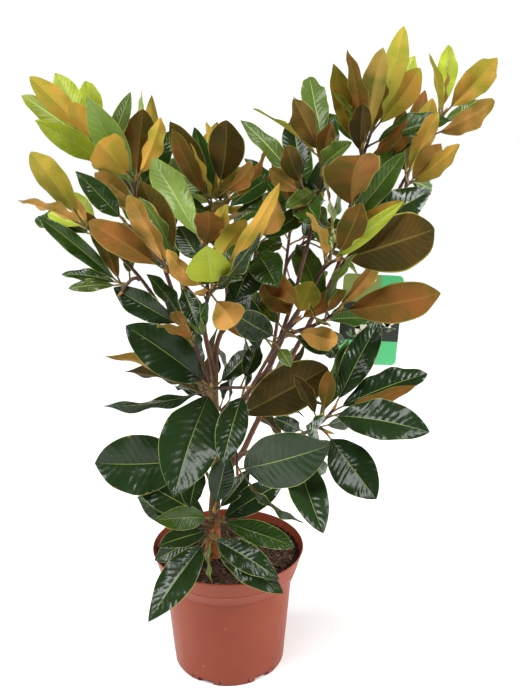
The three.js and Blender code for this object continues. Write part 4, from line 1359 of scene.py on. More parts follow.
# ---------------------------------------------------------------- foliage: fine leaves and shoots
@dataclass
class LeafForm:
    """The fine form of a magnolia leaf: a stalk and a leathery blade with a wavy edge."""

    stalk: float = 20
    half_width: float = 0.176
    base_power: float = 0.9
    tip_power: float = 0.88
    thick: float = 0.9
    stations: int = 26
    rib_height: float = 1.5
    rib_half: float = 0.75
    edge: float = 0.8
    wave: float = 3.2
    waves: float = 2.1
    sway: float = 0.02
    groove: float = 0.35
    rib_reach: float = 1.6
    stalk_radii: tuple = (2.3, 1.9, 1.6, 1.5, 1.5, 1.5, 1.4, 1.1, 0.5)

    def arc(self, leaf: Leaf, u: np.ndarray) -> tuple[np.ndarray, np.ndarray, np.ndarray]:
        """The arc of the source's leaf, from its stalk's foot, with 0 to 1 on its blade.

        Args:
            leaf: the leaf.
            u: places along the blade, below 0 on the stalk.

        Returns:
            How far forward and up each place is, and the arc's angle there.
        """
        stalk = self.stalk / leaf.length
        share = stalk + (1 - stalk) * u
        bend = math.radians(leaf.bend)
        radius = leaf.length / 2 / math.sin(bend / 2)
        angle = (share - 0.5) * bend
        forward = radius * (np.sin(angle) + math.sin(bend / 2))
        return forward, radius * (np.cos(angle) - math.cos(bend / 2)), angle

    def outline(self, leaf: Leaf, along: np.ndarray) -> np.ndarray:
        """Half width from 0 to 1: along to the p times (1 - along) to the q, over its own peak.

        Args:
            leaf: the leaf, whose keys vary p and q.
            along: places along the blade, 0 to 1.

        Returns:
            The half width at each place, as a share of the widest.
        """
        p = self.base_power + swing(0.08, *leaf.keys, 26)
        q = self.tip_power + swing(0.1, *leaf.keys, 27)
        peak = p / (p + q)
        return along**p * (1 - along) ** q / (peak**p * (1 - peak) ** q)

    def across(self, half: float) -> np.ndarray:
        """Places across the blade from -1 to 1, with narrow strips for the midrib and the edges.

        Args:
            half: the blade's half width in millimetres.

        Returns:
            The places from left to right.
        """
        rib, edge = self.rib_half / half, self.edge / half
        right = np.array([rib, 0.2, 0.42, 0.66, 0.86, 1 - edge, 1.0])
        return np.concatenate([-right[::-1], right])

    def surface(self, leaf: Leaf, u: np.ndarray, v: np.ndarray) -> np.ndarray:
        """The blade's middle sheet as a function of along (0 to 1) and across (-1 to 1).

        The centre line is the arc of the source's leaf. Across it, each half rises to the edge
        by fold half-widths, steeply at the midrib and level at the edge. The edge waves by a sine
        along the leaf, the blade turns about its line by the twist, and the tip drops by the curl.

        Args:
            leaf: the leaf.
            u: along, as an array.
            v: across, as an array of the same shape.

        Returns:
            The points.
        """
        side = np.cross(leaf.up, leaf.along)
        forward, lift, angle = self.arc(leaf, u)
        lift = lift - leaf.curl * leaf.length * u**3
        half = self.half_width * leaf.length * leaf.broad * self.outline(leaf, u)
        reach = np.abs(v)
        rise = half * leaf.fold * (1.7 * reach - 0.7 * reach**2)
        count = self.waves + 1.3 * chance(*leaf.keys, 21)
        phase = np.where(v > 0, TAU * chance(*leaf.keys, 22), TAU * chance(*leaf.keys, 23))
        wave = self.wave * (0.5 + chance(*leaf.keys, 24)) * leaf.length / 140
        rise = rise + wave * reach**2.2 * np.sin(TAU * count * u + phase) * np.sin(np.pi * u) ** 0.6
        turn = np.radians(leaf.twist) * (u - 0.3)
        sway = self.sway * leaf.length * swing(1, *leaf.keys, 25) * np.sin(np.pi * u)
        sideways = v * half * np.cos(turn) - rise * np.sin(turn) + sway
        upward = v * half * np.sin(turn) + rise * np.cos(turn)
        along = (forward + np.sin(angle) * upward)[..., None] * leaf.along
        over = (lift + np.cos(angle) * upward)[..., None] * leaf.up
        return leaf.root + along + over + sideways[..., None] * side

    def blade(self, leaf: Leaf) -> Shell:
        """The blade: its sheet given a thickness, a groove above and a raised midrib below.

        Both skins are the sheet moved along its normal, and meet at the edge.

        Args:
            leaf: the leaf.

        Returns:
            The closed shell; slots 0 upper side, 1 felt, 2 midrib, 3 edge.
        """
        half = self.half_width * leaf.length * leaf.broad
        across = self.across(half)
        ease = (1 - np.cos(np.linspace(0.07, 0.985, self.stations) * np.pi)) / 2
        u, v = np.meshgrid(ease, across, indexing="ij")
        sheet = self.surface(leaf, u, v)
        run, span = np.gradient(sheet, axis=0), np.gradient(sheet, axis=1)
        normal = unit(np.cross(run, span))
        if float(normal[self.stations // 2, len(across) // 2] @ leaf.up) < 0:
            normal = -normal
        body = self.thick / 2 * (1 - np.abs(v) ** 6)
        near_rib = np.exp(-((v * half / self.rib_reach) ** 2))
        above = sheet + normal * (body - self.groove * near_rib * (1 - u))[..., None]
        below = sheet - normal * (body + self.rib_height * near_rib * (1 - u) ** 0.8)[..., None]
        ring = np.concatenate([above, below[:, -2:0:-1]], axis=1)
        spots = np.stack([v, u], -1)
        places = np.concatenate([spots, spots[:, -2:0:-1]], axis=1)
        last = len(across) - 1
        top = [3] + [0] * (last // 2 - 1) + [2] + [0] * (last // 2 - 1) + [3]
        felt = [1] * last
        shell = wrapped(ring[:, ::-1], places[:, ::-1], np.roll(np.array(top + felt)[::-1], -1))
        shell.points[-1] = leaf.tip + (leaf.up * -leaf.curl * leaf.length)
        return shell

    def stem(self, leaf: Leaf) -> Shell:
        """The leaf's stalk: a tapering tube from inside the shoot into the blade's midrib.

        Args:
            leaf: the leaf.

        Returns:
            The closed shell, in slot 0.
        """
        stalk = self.stalk / leaf.length
        inside = np.linspace(-stalk / (1 - stalk), 0.1, len(self.stalk_radii))
        forward, lift, _ = self.arc(leaf, inside)
        path = leaf.root + forward[:, None] * leaf.along + (lift - 0.9 * (inside > 0))[:, None] * leaf.up
        path = path + (leaf.joint - leaf.root) * np.clip(inside / inside[0], 0, 1)[:, None]
        return tube(path, np.repeat(np.array(self.stalk_radii)[:, None], 8, 1))


@dataclass
class Foliage:
    """All foliage masses: leaves, stalks, shoots and buds."""

    rule: LeafRule = field(default_factory=LeafRule)
    form: LeafForm = field(default_factory=LeafForm)
    foot: float = 2.9
    tip: float = 2.1
    branching: float = 0.3
    reach: float = 0.45
    steps: int = 2
    bud_length: float = 15
    bud_foot: float = 0.15
    bud_radius: float = 2.5
    node_gap: float = 9
    swelling: float = 0.35
    sides: int = 12
    stalk_skin: PlainGrowth = PlainGrowth("leaf_stalk_tan", "#74552f", "#66662e", 0.55)
    young_bark: Bark = Bark("bark_shoot_young", "#553524", "#33211a", "#8a6440", 0.55, 0.3)
    bud_felt: PlainGrowth = PlainGrowth("bud_felt_rusty", "#a9793f", "#7d5a2e", 0.75, 1.2, 0.4)
    count: int = 0

    def shoots(self, mass: MassSizes, mass_key: int, limbs: Limbs) -> list[Shoot]:
        """The shoots of a mass: the first carries on from the limb, the others branch off it.

        Args:
            mass: the mass's sizes.
            mass_key: its number.
            limbs: the grown limbs.

        Returns:
            The shoots in order.
        """
        limb = limbs.lines[mass.limb]
        on_trunk = mass.limb == "trunk"
        origin = limb.point(mass.at)
        along = unit(np.array(mass.rows[0].tip, float) - origin) if on_trunk else limb.direction(1)
        start = origin if on_trunk else origin + along * AIR
        shoots: list[Shoot] = []
        for order, row in enumerate(mass.rows):
            tip = np.array(row.tip, float)
            share = self.branching * order
            foot = shoots[0].chords.point(share) if order else start
            leaning = shoots[0].line.direction(share) if order else along
            control = foot + leaning * np.linalg.norm(tip - foot) * self.reach
            line = Bow(foot, control, tip)
            shoots.append(Shoot(line, Chords(line, self.steps), row, mass_key * 10 + order))
        return shoots

    def shoot_shell(self, shoot: Shoot) -> Shell:
        """A shoot: a taper with a slight swelling under each leaf stalk.

        Args:
            shoot: the shoot.

        Returns:
            The closed tube.
        """
        rings = max(8, int(shoot.line.length / 3))
        share = np.linspace(0, 1, rings)[:, None]
        run = share * shoot.line.length
        angle = np.arange(self.sides)[None] * TAU / self.sides
        swell = self.swelling * np.exp(-(((run % self.node_gap) - self.node_gap / 2) ** 2) / 3)
        radii = self.foot + (self.tip - self.foot) * share + swell
        radii = radii + 0.08 * smooth_noise(np.cos(angle) * 3 + run / 6, np.sin(angle) * 3, 400 + shoot.key)
        return tube(shoot.line.points(rings), radii)

    def bud_shell(self, shoot: Shoot) -> Shell:
        """The felted bud at a shoot's tip: a tube whose radius swells and runs to a point.

        Radius: its foot plus the bud's radius times the sine of pi (0.16 + 0.84 s) to the 0.75.

        Args:
            shoot: the shoot.

        Returns:
            The closed shell.
        """
        share = np.linspace(0, 1, 9)
        base, direction = shoot.line.point(1), shoot.line.direction(1)
        length = self.bud_length * (0.8 + 0.5 * chance(shoot.key, 51))
        path = base + np.outer(share * length - 1.5, unit(direction + np.array([0, 0, 0.3])))
        radii = self.bud_foot + self.bud_radius * np.sin(np.pi * (0.16 + 0.84 * share) ** 0.75)
        return tube(path, np.repeat(radii[:, None], 10, 1))

    def mass(self, sizes: MassSizes, mass_key: int, limbs: Limbs, frame: dict) -> list[Shell]:
        """Makes one mass's leaves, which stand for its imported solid.

        Args:
            sizes: the mass's sizes.
            mass_key: its number.
            limbs: the grown limbs.
            frame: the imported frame.

        Returns:
            The shells of its stalks, shoots and buds, by kind.
        """
        mesh = frame["nodes"][sizes.name].data
        corners = np.empty(len(mesh.vertices) * 3, np.float32)
        mesh.vertices.foreach_get("co", corners)
        corners = corners.reshape(-1, 3).astype(float) / MM
        shoots = self.shoots(sizes, mass_key, limbs)
        leaves = [leaf for shoot in shoots for leaf in self.rule.grown(shoot, corners)]
        tones = sorted({leaf.tone for leaf in leaves}, key=lambda tone: tone.value)
        blades = [self.form.blade(leaf) for leaf in leaves]
        for leaf, blade in zip(leaves, blades):
            blade.quad_slots = blade.quad_slots + 4 * tones.index(leaf.tone)
            blade.triangle_slots = blade.triangle_slots + 4 * tones.index(leaf.tone)
        materials = [material for tone in tones for material in DRESSES[tone].materials()]
        made = Shell.joined(blades).piece("leaves_" + sizes.name.removeprefix("foliage_"), materials)
        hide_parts(sizes.name)
        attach(made, "root")
        self.count += len(leaves)
        LOG.info("%s: %d of %d leaves", made.name, len(leaves), sum(row.leaves for row in sizes.rows))
        return [
            Shell.joined([self.form.stem(leaf) for leaf in leaves]),
            Shell.joined([self.shoot_shell(shoot) for shoot in shoots]),
            Shell.joined([self.bud_shell(shoot) for shoot in shoots]),
        ]

    def build(self, limbs: Limbs, frame: dict) -> list[bpy.types.Object]:
        """Makes every mass, then the stalks, shoots and buds of them all, each kind joined.

        Args:
            limbs: the grown limbs.
            frame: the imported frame.

        Returns:
            The three joined pieces.
        """
        kinds = zip(*[self.mass(sizes, key, limbs, frame) for key, sizes in enumerate(MASSES)])
        stalks, shoots, buds = (Shell.joined(list(shells)) for shells in kinds)
        pieces = [
            stalks.piece("leaf_stalks", [self.stalk_skin.made()]),
            shoots.piece("young_shoots", [self.young_bark.made()]),
            buds.piece("shoot_buds", [self.bud_felt.made()]),
        ]
        return pieces


# ---------------------------------------------------------------- pot and compost
@dataclass
class Pot:
    """The nursery pot: a tapering wall, a flared rim band and a notched foot ring."""

    rim: float = 130
    band_foot: float = 116
    wall_top: float = 110.5
    foot: float = 97
    height: float = 216
    band_height: float = 46
    wall: float = 2.4
    base: float = 80
    channel: float = 8
    skirt: float = 4
    notches: int = 6
    notch_half: float = 8.3
    step_half: float = 13.3
    slit: float = 15.6
    slit_half: float = 0.6
    notch_turn: float = 37
    step: float = 2
    fillet: float = 3
    bead_drop: float = 30
    bead: float = 0.5
    facets: int = 180
    plastic: PotPlastic = PotPlastic("pot_plastic_terracotta", "#81381f", "#722e18", "#b87c60")

    @property
    def band_bottom(self) -> float:
        """Height of the rim band's lower edge."""
        return self.height - self.band_height

    def inside(self, z: float) -> float:
        """Inner radius of the pot: the wall's or the rim band's outer radius less the wall.

        Args:
            z: height above the underside.

        Returns:
            The radius.
        """
        if z > self.band_bottom:
            return self.band_radius(z) - self.wall
        return self.foot + (self.wall_top - self.foot) * z / self.band_bottom - self.wall

    def columns(self) -> tuple[np.ndarray, np.ndarray]:
        """Angles round the pot and the height that the foot ring is cut to at each.

        Each notch is a step of 2 mm, then the full channel height, then the step again, with a
        narrow slit beyond it on both sides. A cut's edge is two columns a hair apart.

        Returns:
            Angles in radians and cut heights in millimetres.
        """
        hair = 0.015
        edges: list[tuple[float, float]] = []
        for notch in range(self.notches):
            middle = -90 + self.notch_turn + 360 / self.notches * notch
            cuts = (
                (-self.slit - self.slit_half, 0, self.channel),
                (-self.slit + self.slit_half, self.channel, 0),
                (-self.step_half, 0, self.step), (-self.notch_half, self.step, self.channel),
                (self.notch_half, self.channel, self.step), (self.step_half, self.step, 0),
                (self.slit - self.slit_half, 0, self.channel),
                (self.slit + self.slit_half, self.channel, 0),
            )
            for offset, before, after in cuts:
                edges += [(middle + offset - hair, before), (middle + offset + hair, after)]
        edges = sorted(((angle + 90) % 360 - 90, height) for angle, height in edges)
        marks, heights = (np.array(values) for values in zip(*edges))
        plain = np.linspace(-90, 270, self.facets, endpoint=False)
        clear = plain[np.abs(plain[:, None] - marks).min(axis=1) > 0.3]
        before = np.searchsorted(marks, clear) - 1
        angles = np.concatenate([marks, clear])
        cut = np.concatenate([heights, heights[before]])
        order = np.argsort(angles)
        return np.radians(angles[order]), cut[order]

    def profile(self) -> np.ndarray:
        """Radius and height from the middle of the underside, round the wall, to the inner floor.

        Returns:
            One corner of the profile a row.
        """
        lip = np.radians(np.linspace(0, 180, 9))
        middle, top = self.rim - self.wall / 2, self.height - self.wall / 2
        roll = [(middle + self.wall / 2 * math.cos(a), top + self.wall / 2 * math.sin(a)) for a in lip]
        turn, inset = np.radians(np.linspace(-80, -4, 5)), self.foot - self.fillet
        corner = [(inset + self.fillet * math.cos(a), self.fillet + self.fillet * math.sin(a)) for a in turn]
        low, high = self.band_bottom - 4, self.band_bottom
        rise = np.linspace(0, 1, 12)[1:]
        taper = self.wall_top - self.foot
        wall = [(self.foot + taper * t, self.fillet + (low - self.fillet) * t) for t in rise]
        line = self.height - self.bead_drop
        heights = (high, high + 0.8, line - 1.2, line - 0.5, line + 0.5, line + 1.2)
        band = [(self.band_radius(z) + (self.bead if abs(z - line) < 0.6 else 0), z)
                for z in (*heights, self.height - 14, self.height - 5)]
        inner = [(self.inside(high + 2), high + 2), (self.inside(high - 6), high - 6), (self.inside(11), 11)]
        floor = self.channel + self.wall
        skirt = self.foot - self.skirt
        return np.array([
            (0.4, 0), (self.base * 0.5, 0), (self.base - 0.8, 0), (self.base, 0.6),
            (self.base + 1, self.channel - 0.5), (self.base + 1.6, self.channel),
            (skirt - 0.5, self.channel), (skirt, self.channel - 0.5), (skirt, 0.5), (skirt + 0.4, 0),
            *corner, *wall, (self.wall_top + 0.6, low + 0.3), (self.band_foot - 0.6, high - 0.5),
            *band, *roll, *inner, (self.base - 1, floor), (self.base - 3, self.wall), (0.4, self.wall),
        ])

    def band_radius(self, z: float) -> float:
        """Outer radius of the rim band at a height."""
        return self.band_foot + (self.rim - self.band_foot) * (z - self.band_bottom) / self.band_height

    def build(self) -> bpy.types.Object:
        """Turns the profile round the axis, lifting the foot ring to its cut height at each column.

        Returns:
            The pot's piece.
        """
        angles, cut = self.columns()
        profile = self.profile()
        radius, height = profile[:, 0][:, None], profile[:, 1][:, None]
        in_foot = (radius > self.foot - self.skirt - 0.2) & (height < self.channel)
        height = np.where(in_foot, np.maximum(height, cut[None]), height)
        radius = np.broadcast_to(radius, height.shape)
        grid = np.stack([radius * np.cos(angles), radius * np.sin(angles), height], -1)
        places = np.stack(np.broadcast_arrays(angles * self.rim, height), -1)
        made = wrapped(grid[:, ::-1], places[:, ::-1]).piece("nursery_pot", [self.plastic.made()], 38)
        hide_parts("pot")
        return made


@dataclass
class CompostBed:
    """The compost: a settled bed with a lumpy top, loose crumbs and fibres."""

    top: float = COMPOST_TOP
    edge: float = 203
    plateau: float = 70
    lumps: float = 1.6
    crumbs: int = 1500
    fibres: int = 260
    crumb_halves: tuple = (2.4, 1.9, 1.4)
    fibre_halves: tuple = (6.5, 0.8, 0.6)
    rings: int = 70
    sides: int = 240
    clearance: float = 1.6
    bed: Compost = Compost("compost_moist", "#2a1d16", "#5a4636")
    crumb: Compost = Compost("compost_crumb", "#3a291f", "#6b5543", 2.2)
    fibre: Compost = Compost("compost_fibre", "#6f5a44", "#9a8468", 2.2)

    def level(self, x: np.ndarray, y: np.ndarray, pot: Pot) -> np.ndarray:
        """Height of the top: level in the middle, falling evenly to the edge, and lumpy.

        Args:
            x: across, in millimetres.
            y: to the back, in millimetres.
            pot: the pot that holds it.

        Returns:
            The height at each place.
        """
        far = np.hypot(x, y)
        reach = pot.inside(self.edge) - self.clearance
        fall = np.clip((far - self.plateau) / (reach - self.plateau), 0, 1)
        uneven = smooth_noise(x / 5, y / 5, 501) + 0.6 * smooth_noise(x / 2.2, y / 2.2, 502)
        return self.top - (self.top - self.edge) * fall + self.lumps * uneven

    def surface(self, pot: Pot) -> bpy.types.Object:
        """The bed: its walls and floor lie inside the pot, its top is the lumpy level.

        Args:
            pot: the pot that holds it.

        Returns:
            The bed's piece.
        """
        floor, ground = pot.channel + pot.wall + AIR, pot.wall + AIR
        low, high = pot.band_bottom - 4, pot.band_bottom + 2
        under = np.array([
            (0.4, ground), (pot.base - 4, ground), (pot.base - 2, floor), (pot.inside(floor) - 0.6, floor),
            (pot.inside(low - 1) - 0.6, low), (pot.inside(high) - self.clearance, high)])
        reach = pot.inside(self.edge) - self.clearance
        radii = np.concatenate([under[:, 0], np.linspace(reach, 0.4, self.rings)])
        angles = np.arange(self.sides) * TAU / self.sides
        x, y = radii[:, None] * np.cos(angles), radii[:, None] * np.sin(angles)
        walls = np.repeat(under[:, 1:], self.sides, 1)
        height = np.vstack([walls, self.level(x[len(under):], y[len(under):], pot)])
        grid = np.stack([x, y, height], -1)
        made = wrapped(grid[:, ::-1], grid[:, ::-1, :2]).piece("compost_bed", [self.bed.made()], 80)
        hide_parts("compost")
        return made

    def scattered(self, count: int, sizes: tuple, key: int, pot: Pot) -> Shell:
        """Loose bits on the bed: uneven twelve-cornered crumbs, stretched by their three sizes.

        Args:
            count: how many.
            sizes: half length, half width and half height in millimetres.
            key: which scatter.
            pot: the pot that holds them.

        Returns:
            One shell that holds them all.
        """
        corners, faces = icosahedron()
        random = np.random.default_rng(SEED * 100 + key)
        far = (pot.inside(self.edge) - 5) * np.sqrt(random.random(count))
        way = TAU * random.random(count)
        x, y = far * np.cos(way), far * np.sin(way)
        scale = np.array(sizes) * (0.45 + 1.1 * random.random((count, 1)) ** 2)
        bits = corners * (0.75 + 0.5 * random.random((count, 12, 1))) * scale[:, None]
        spin = TAU * random.random(count)[:, None]
        tilt = 0.7 * (random.random(count)[:, None] - 0.5)
        bx = bits[..., 0] * np.cos(spin) - bits[..., 1] * np.sin(spin)
        by = bits[..., 0] * np.sin(spin) + bits[..., 1] * np.cos(spin)
        bz = bits[..., 2] + bits[..., 0] * tilt
        rest = self.level(x, y, pot) + scale[:, 2] * 0.4
        points = np.stack([bx + x[:, None], by + y[:, None], bz + rest[:, None]], -1).reshape(-1, 3)
        triangles = (faces[None] + 12 * np.arange(count)[:, None, None]).reshape(-1, 3)
        none = np.zeros((0, 4), int)
        return Shell(points, none, triangles, np.zeros(0, int), np.zeros(len(triangles), int), points[:, :2])

    def build(self, pot: Pot) -> list[bpy.types.Object]:
        """Makes the bed, the crumbs and the fibres.

        Args:
            pot: the pot that holds them.

        Returns:
            The three pieces.
        """
        crumbs = self.scattered(self.crumbs, self.crumb_halves, 1, pot)
        crumbs = crumbs.piece("compost_crumbs", [self.crumb.made()], 35)
        fibres = self.scattered(self.fibres, self.fibre_halves, 2, pot)
        fibres = fibres.piece("compost_fibres", [self.fibre.made()], 35)
        return [self.surface(pot), crumbs, fibres]


def icosahedron() -> tuple[np.ndarray, np.ndarray]:
    """Corners of a regular twenty-sided body of radius one, and its faces, outward.

    Its corners are the cyclic turns of (0, 1, golden ratio) with every sign, over their length.

    Returns:
        Corners, one a row, and faces, three corners a row.
    """
    ratio = (1 + math.sqrt(5)) / 2
    signs = [(a, b) for a in (-1, 1) for b in (-1, 1)]
    rows = [(0, a, b * ratio) for a, b in signs]
    rows += [(a, b * ratio, 0) for a, b in signs]
    rows += [(b * ratio, 0, a) for a, b in signs]
    corners = unit(np.array(rows, float))
    gap = np.linalg.norm(corners[:, None] - corners[None], axis=-1)
    near = (gap > 0.1) & (gap < 1.2)
    i, j, k = np.array(list(itertools.combinations(range(12), 3))).T
    meet = near[i, j] & near[j, k] & near[i, k]
    i, j, k = i[meet], j[meet], k[meet]
    out = (np.cross(corners[j] - corners[i], corners[k] - corners[i]) * corners[i]).sum(axis=1) > 0
    return corners, np.stack([i, np.where(out, j, k), np.where(out, k, j)], axis=1)


# ---------------------------------------------------------------- plant card and its tie
@dataclass
class PlantCard:
    """A hanging card with plain colour fields and a generic drawing of leaves and petals."""

    width: float = 100
    height: float = 155
    thick: float = 1.2
    corner: float = 9
    hole: float = 4
    hole_drop: float = 9
    lean: float = 3
    place: tuple = (243, 60, 669)
    header: float = 47
    foot_band: float = 42
    accent: float = 13
    tie_radius: float = 0.7
    tie_half_width: float = 17
    tie_top: float = 756
    tie_shift: float = 3
    tie_wobble: float = 1.2
    leaves: int = 34
    petals: int = 7
    ink: float = 0.08
    thick_ink: float = 0.14
    olive: PrintedCard = PrintedCard("card_ink_olive", "#7d8a45", "#6b7a3a")
    green: PrintedCard = PrintedCard("card_ink_green", "#45b06c", "#3aa463")
    light: PrintedCard = PrintedCard("card_ink_light_green", "#52c47c", "#4abb74")
    dark: PrintedCard = PrintedCard("card_ink_dark", "#232a20", "#11160f", 5)
    petal: PrintedCard = PrintedCard("card_ink_petal", "#e9e6da", "#c9c8b4", 6)
    drawn: PrintedCard = PrintedCard("card_ink_leaf", "#6f8f5a", "#3d5a38", 5)
    cord: PlainGrowth = PlainGrowth("tie_plastic_white", "#f2efe6", "#dedad0", 0.45)

    def placed(self, a: np.ndarray, b: np.ndarray, out: np.ndarray | float) -> np.ndarray:
        """Points of the plant from places on the card, which leans to one side.

        Args:
            a: to the right of the hole.
            b: up from the hole.
            out: to the front of the card's middle.

        Returns:
            The points.
        """
        turn = math.radians(self.lean)
        x, y, z = self.place
        right = a * math.cos(turn) + b * math.sin(turn)
        up = b * math.cos(turn) - a * math.sin(turn)
        return np.stack(np.broadcast_arrays(x + right, y - out, z + up), -1)

    def edge_at(self, b: np.ndarray) -> np.ndarray:
        """Half width of the card: full, less the rounding of its corners.

        Args:
            b: heights from the hole.

        Returns:
            The half width at each height.
        """
        top, bottom = self.hole_drop, self.hole_drop - self.height
        near = np.minimum(top - b, b - bottom)
        cut = np.clip(self.corner - near, 0, self.corner)
        return self.width / 2 - self.corner + np.sqrt(np.maximum(self.corner**2 - cut**2, 0))

    def face(self, b_low: float, b_high: float, share: tuple, slot: int, out: float) -> Shell:
        """A field of the card as a thin closed plate between two heights.

        Args:
            b_low: lower height.
            b_high: upper height.
            share: left and right limit as a share of the half width.
            slot: material slot.
            out: how far its front is before the card's middle.

        Returns:
            The plate.
        """
        rows = b_low + (b_high - b_low) * (1 - np.cos(np.linspace(0, np.pi, 26))) / 2
        columns = np.linspace(share[0], share[1], 9)
        b, s = np.meshgrid(rows, columns, indexing="ij")
        a = s * self.edge_at(b)
        front, back = self.placed(a, b, out), self.placed(a, b, -self.thick / 2)
        ring = np.concatenate([front, back[:, ::-1]], axis=1)
        places = np.concatenate([np.stack([a, b], -1), np.stack([a, b], -1)[:, ::-1]], axis=1)
        return wrapped(ring[:, ::-1], places[:, ::-1], slot)

    def oval(self, a: float, b: float, sizes: tuple, turn: float, slot: int, out: float) -> Shell:
        """A pointed oval printed on the card, as a plate about a tenth of a millimetre proud.

        Its half width at an angle t is sizes[1] times sin t, its half length sizes[0] cos t, drawn
        in to a point by the cube of the cosine.

        Args:
            a: middle, to the right.
            b: middle, up.
            sizes: half length and half width.
            turn: degrees it is turned by.
            slot: material slot.
            out: how far its front is before the card's middle.

        Returns:
            The plate.
        """
        t = np.arange(20) * TAU / 20
        along = sizes[0] * (np.cos(t) + 0.12 * np.cos(t) ** 3)
        wide = sizes[1] * np.sin(t) * (1 - 0.35 * np.abs(np.cos(t)) ** 3)
        spin = math.radians(turn)
        x = a + along * math.cos(spin) - wide * math.sin(spin)
        y = b + along * math.sin(spin) + wide * math.cos(spin)
        rings = np.stack([self.placed(x, y, self.thick / 2 - 0.2), self.placed(x, y, out)])
        return wrapped(rings, np.repeat(np.stack([x, y], -1)[None], 2, 0), slot)

    def drawing(self, low: float, high: float) -> list[Shell]:
        """A generic drawing: small leaves scattered over the dark field and a few pale petals.

        Args:
            low: lower height of the field.
            high: its upper height.

        Returns:
            The printed ovals.
        """
        shells, front = [], self.thick / 2
        for number in range(self.leaves):
            a = swing(self.width / 2 - 9, number, 61)
            b = low + 7 + (high - low - 14) * chance(number, 62)
            long = 4.5 + 4 * chance(number, 63)
            turn = 360 * chance(number, 64)
            shells.append(self.oval(a, b, (long, long * 0.38), turn, 5, front + self.ink))
        for number in range(self.petals):
            a = -22 + 15 * chance(number, 66) + 44 * (number % 2)
            b = low + 16 + (high - low - 34) * chance(number, 67)
            turn = 70 * (number % 3) + 30 * chance(number, 68)
            shells.append(self.oval(a, b, (9, 4.2), turn, 4, front + self.thick_ink))
        return shells

    def card(self) -> bpy.types.Object:
        """The card: header field, accent corner, dark picture field and foot band, with its print.

        Returns:
            The card's piece.
        """
        top, bottom = self.hole_drop, self.hole_drop - self.height
        head, foot = top - self.header, bottom + self.foot_band
        split = self.accent / (self.width / 2)
        front = self.thick / 2
        shells = [
            self.face(head, top - 0.02, (-1, split), 0, front),
            self.face(head, top - 0.02, (split, 1), 1, front),
            self.face(foot, head, (-1, 1), 3, front),
            self.face(bottom + 0.02, foot, (-1, 1), 2, front),
            *self.drawing(foot, head),
            self.eyelet(),
        ]
        inks = (self.olive, self.green, self.light, self.dark, self.petal, self.drawn)
        made = Shell.joined(shells).piece("plant_card_printed", [ink.made() for ink in inks], 40)
        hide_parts("plant_card")
        return made

    def eyelet(self) -> Shell:
        """The punched hole, shown as a pale disc in its place with a rounded rim.

        Returns:
            The disc.
        """
        angle = np.arange(24) * TAU / 24
        right, up, front = np.cos(angle), np.sin(angle), self.thick / 2
        rings = [(self.hole * 0.2, 0.12), (self.hole * 0.86, 0.12), (self.hole, 0.04), (self.hole, -0.3)]
        grid = np.stack([self.placed(r * right, r * up, front + h) for r, h in rings])
        places = np.repeat(np.stack([right, up], -1)[None], len(rings), 0)
        return wrapped(grid[::-1], places, 4)

    def tie(self) -> bpy.types.Object:
        """The tie: a thin closed loop through the hole and over the bough above it.

        Returns:
            The tie's piece.
        """
        x, y, z = self.place
        half = (self.tie_top - z) / 2
        angle = np.arange(72) * TAU / 72
        stretch = np.sin(angle) * half
        path = np.stack([
            x + self.tie_wobble * np.sin(3 * angle),
            y + self.tie_shift + self.tie_half_width * np.cos(angle),
            z + half + stretch,
        ], -1)
        inward = unit(np.array([x, y + self.tie_shift, z + half]) - path)
        level = np.cross(inward, unit(np.roll(path, -1, 0) - np.roll(path, 1, 0)))
        turn = np.arange(8) * TAU / 8
        spokes = inward[:, None] * np.cos(turn)[:, None] + level[:, None] * np.sin(turn)[:, None]
        grid = path[:, None] + self.tie_radius * spokes
        grid = np.concatenate([grid, grid[:1]])
        places = np.stack(np.meshgrid(np.arange(73.0), turn, indexing="ij"), -1)
        shell = wrapped(grid, places, poles=False)
        made = shell.piece("card_tie_loop", [self.cord.made()])
        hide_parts("card_tie")
        return made

    def build(self) -> list[bpy.types.Object]:
        """Makes the card and its tie."""
        return [self.card(), self.tie()]


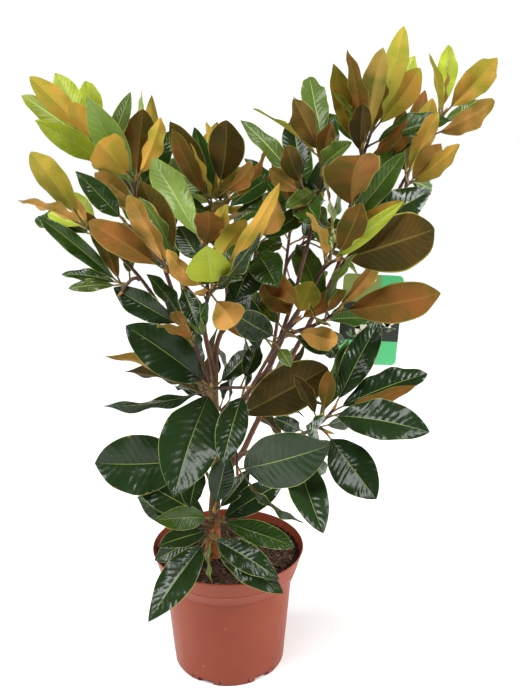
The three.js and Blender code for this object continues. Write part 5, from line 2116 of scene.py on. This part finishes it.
# ---------------------------------------------------------------- studio
@dataclass
class Studio:
    """A pale floor, soft light from above and all round, and the camera."""

    camera_place: tuple = (0.055, -1.243, 0.922)
    pitch: float = 16
    focal: float = 41.14
    floor_half: float = 60
    paper: StudioFloor = StudioFloor("paper_sweep_white", "#fefefe")

    def floor(self) -> bpy.types.Object:
        """A level sheet of paper under the pot, wide enough to run to the horizon.

        Returns:
            The floor.
        """
        share = np.linspace(-1, 1, 9)
        x, y = np.meshgrid(share**3 * self.floor_half, share**3 * self.floor_half, indexing="ij")
        index = np.arange(81).reshape(9, 9)
        quads = np.stack([index[:-1, :-1], index[1:, :-1], index[1:, 1:], index[:-1, 1:]], -1).reshape(-1, 4)
        points = np.stack([x, y, np.full_like(x, -0.0002)], -1).reshape(-1, 3) / MM
        none = np.zeros((0, 3), int)
        shell = Shell(points, quads, none, np.zeros(len(quads), int), np.zeros(0, int), points[:, :2])
        made = shell.piece("studio_floor", [self.paper.made()])
        made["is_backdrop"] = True
        return made

    def lamp(self, name: str, kind: str, place: tuple, aim: tuple, energy: float, size: float) -> None:
        """A lamp that points at a spot.

        Args:
            name: the lamp's name.
            kind: AREA or SUN.
            place: where it is, in metres.
            aim: the spot it points at.
            energy: watts, or watts a square metre for a sun.
            size: edge length in metres, or a sun's breadth in degrees.
        """
        data = bpy.data.lights.new(name, kind)
        data.energy = energy
        if kind == "SUN":
            data.angle = math.radians(size)
        else:
            data.shape = "RECTANGLE"
            data.size, data.size_y = size, size * 0.7
        lamp = bpy.data.objects.new(name, data)
        lamp.location = place
        away = np.array(place) - np.array(aim)
        tilt = math.atan2(math.hypot(away[0], away[1]), away[2])
        lamp.rotation_euler = Euler((tilt, 0, math.atan2(away[1], away[0]) + math.pi / 2))
        bpy.context.scene.collection.objects.link(lamp)

    def surroundings(self) -> None:
        """White walls behind and beside the plant that fall off to a dim ceiling and a dim front.

        The brightness depends on the height of the direction looked in and on how far it is to
        the front. Seen directly, the walls are evenly white all round.
        """
        world = bpy.data.worlds.new("studio_walls")
        world.use_nodes = True
        add = partial(add_node, world.node_tree)
        smooth = {"interpolation_type": "SMOOTHSTEP"}
        way = add("TexCoord", out="Generated")
        height = add("SeparateXYZ", [way], "Z")
        back = height.node.outputs["Y"]
        fall = add("MapRange", [height, 0.17, 0.42, 1.12, 0.07], **smooth)
        front = add("MapRange", [back, -0.6, 0.1, 0.15, 1.0], **smooth)
        lit = add("Math", [fall, front], operation="MULTIPLY")
        direct = add("LightPath", out="Is Camera Ray")
        seen = add("Math", [direct, 1.05], operation="MULTIPLY")
        strength = add("Math", [lit, seen], operation="MAXIMUM")
        feed(world.node_tree.nodes["Background"], {"Color": linear("#ffffff"), "Strength": strength})
        bpy.context.scene.world = world

    def camera(self) -> None:
        """The camera, level from side to side and pitched down."""
        data = bpy.data.cameras.new("camera")
        data.sensor_fit = "AUTO"
        data.sensor_width = 36
        data.lens = self.focal
        data.clip_end = 200
        made = bpy.data.objects.new("camera", data)
        made.location = self.camera_place
        made.rotation_euler = (math.radians(90 - self.pitch), 0, 0)
        bpy.context.scene.collection.objects.link(made)
        bpy.context.scene.camera = made

    def build(self) -> None:
        """Sets the floor, lamps, surroundings, camera and colour handling."""
        self.floor()
        self.surroundings()
        self.lamp("sun_overhead", "SUN", (-0.4, -0.6, 2.6), (0, 0, 0.5), 3.1, 32)
        self.lamp("softbox_left", "AREA", (-1.9, -0.5, 1.5), (0, 0, 0.5), 50, 1.2)
        self.lamp("softbox_right", "AREA", (1.9, -0.3, 1.4), (0, 0, 0.5), 66, 1.2)
        self.camera()
        scene = bpy.context.scene
        scene.view_settings.view_transform = "Standard"
        scene.view_settings.look = "None"


def main() -> None:
    logging.basicConfig(level=logging.INFO, format="%(message)s")
    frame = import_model()
    solid_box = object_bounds()
    Studio().build()
    limbs = Limbs()
    pot = Pot()
    foliage = Foliage()
    pieces = [pot.build(), *CompostBed().build(pot), *limbs.build()]
    pieces += foliage.build(limbs, frame)
    pieces += PlantCard().build()
    for made in pieces:
        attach(made, "root")
        LOG.info("%s: %d faces", made.name, len(made.data.polygons))
    LOG.info("leaves in all: %d", foliage.count)
    boxes = {"solids": solid_box, "visual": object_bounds()}
    boxes = {name: [list(corner) for corner in box] for name, box in boxes.items()}


if __name__ == "__main__":
    main()
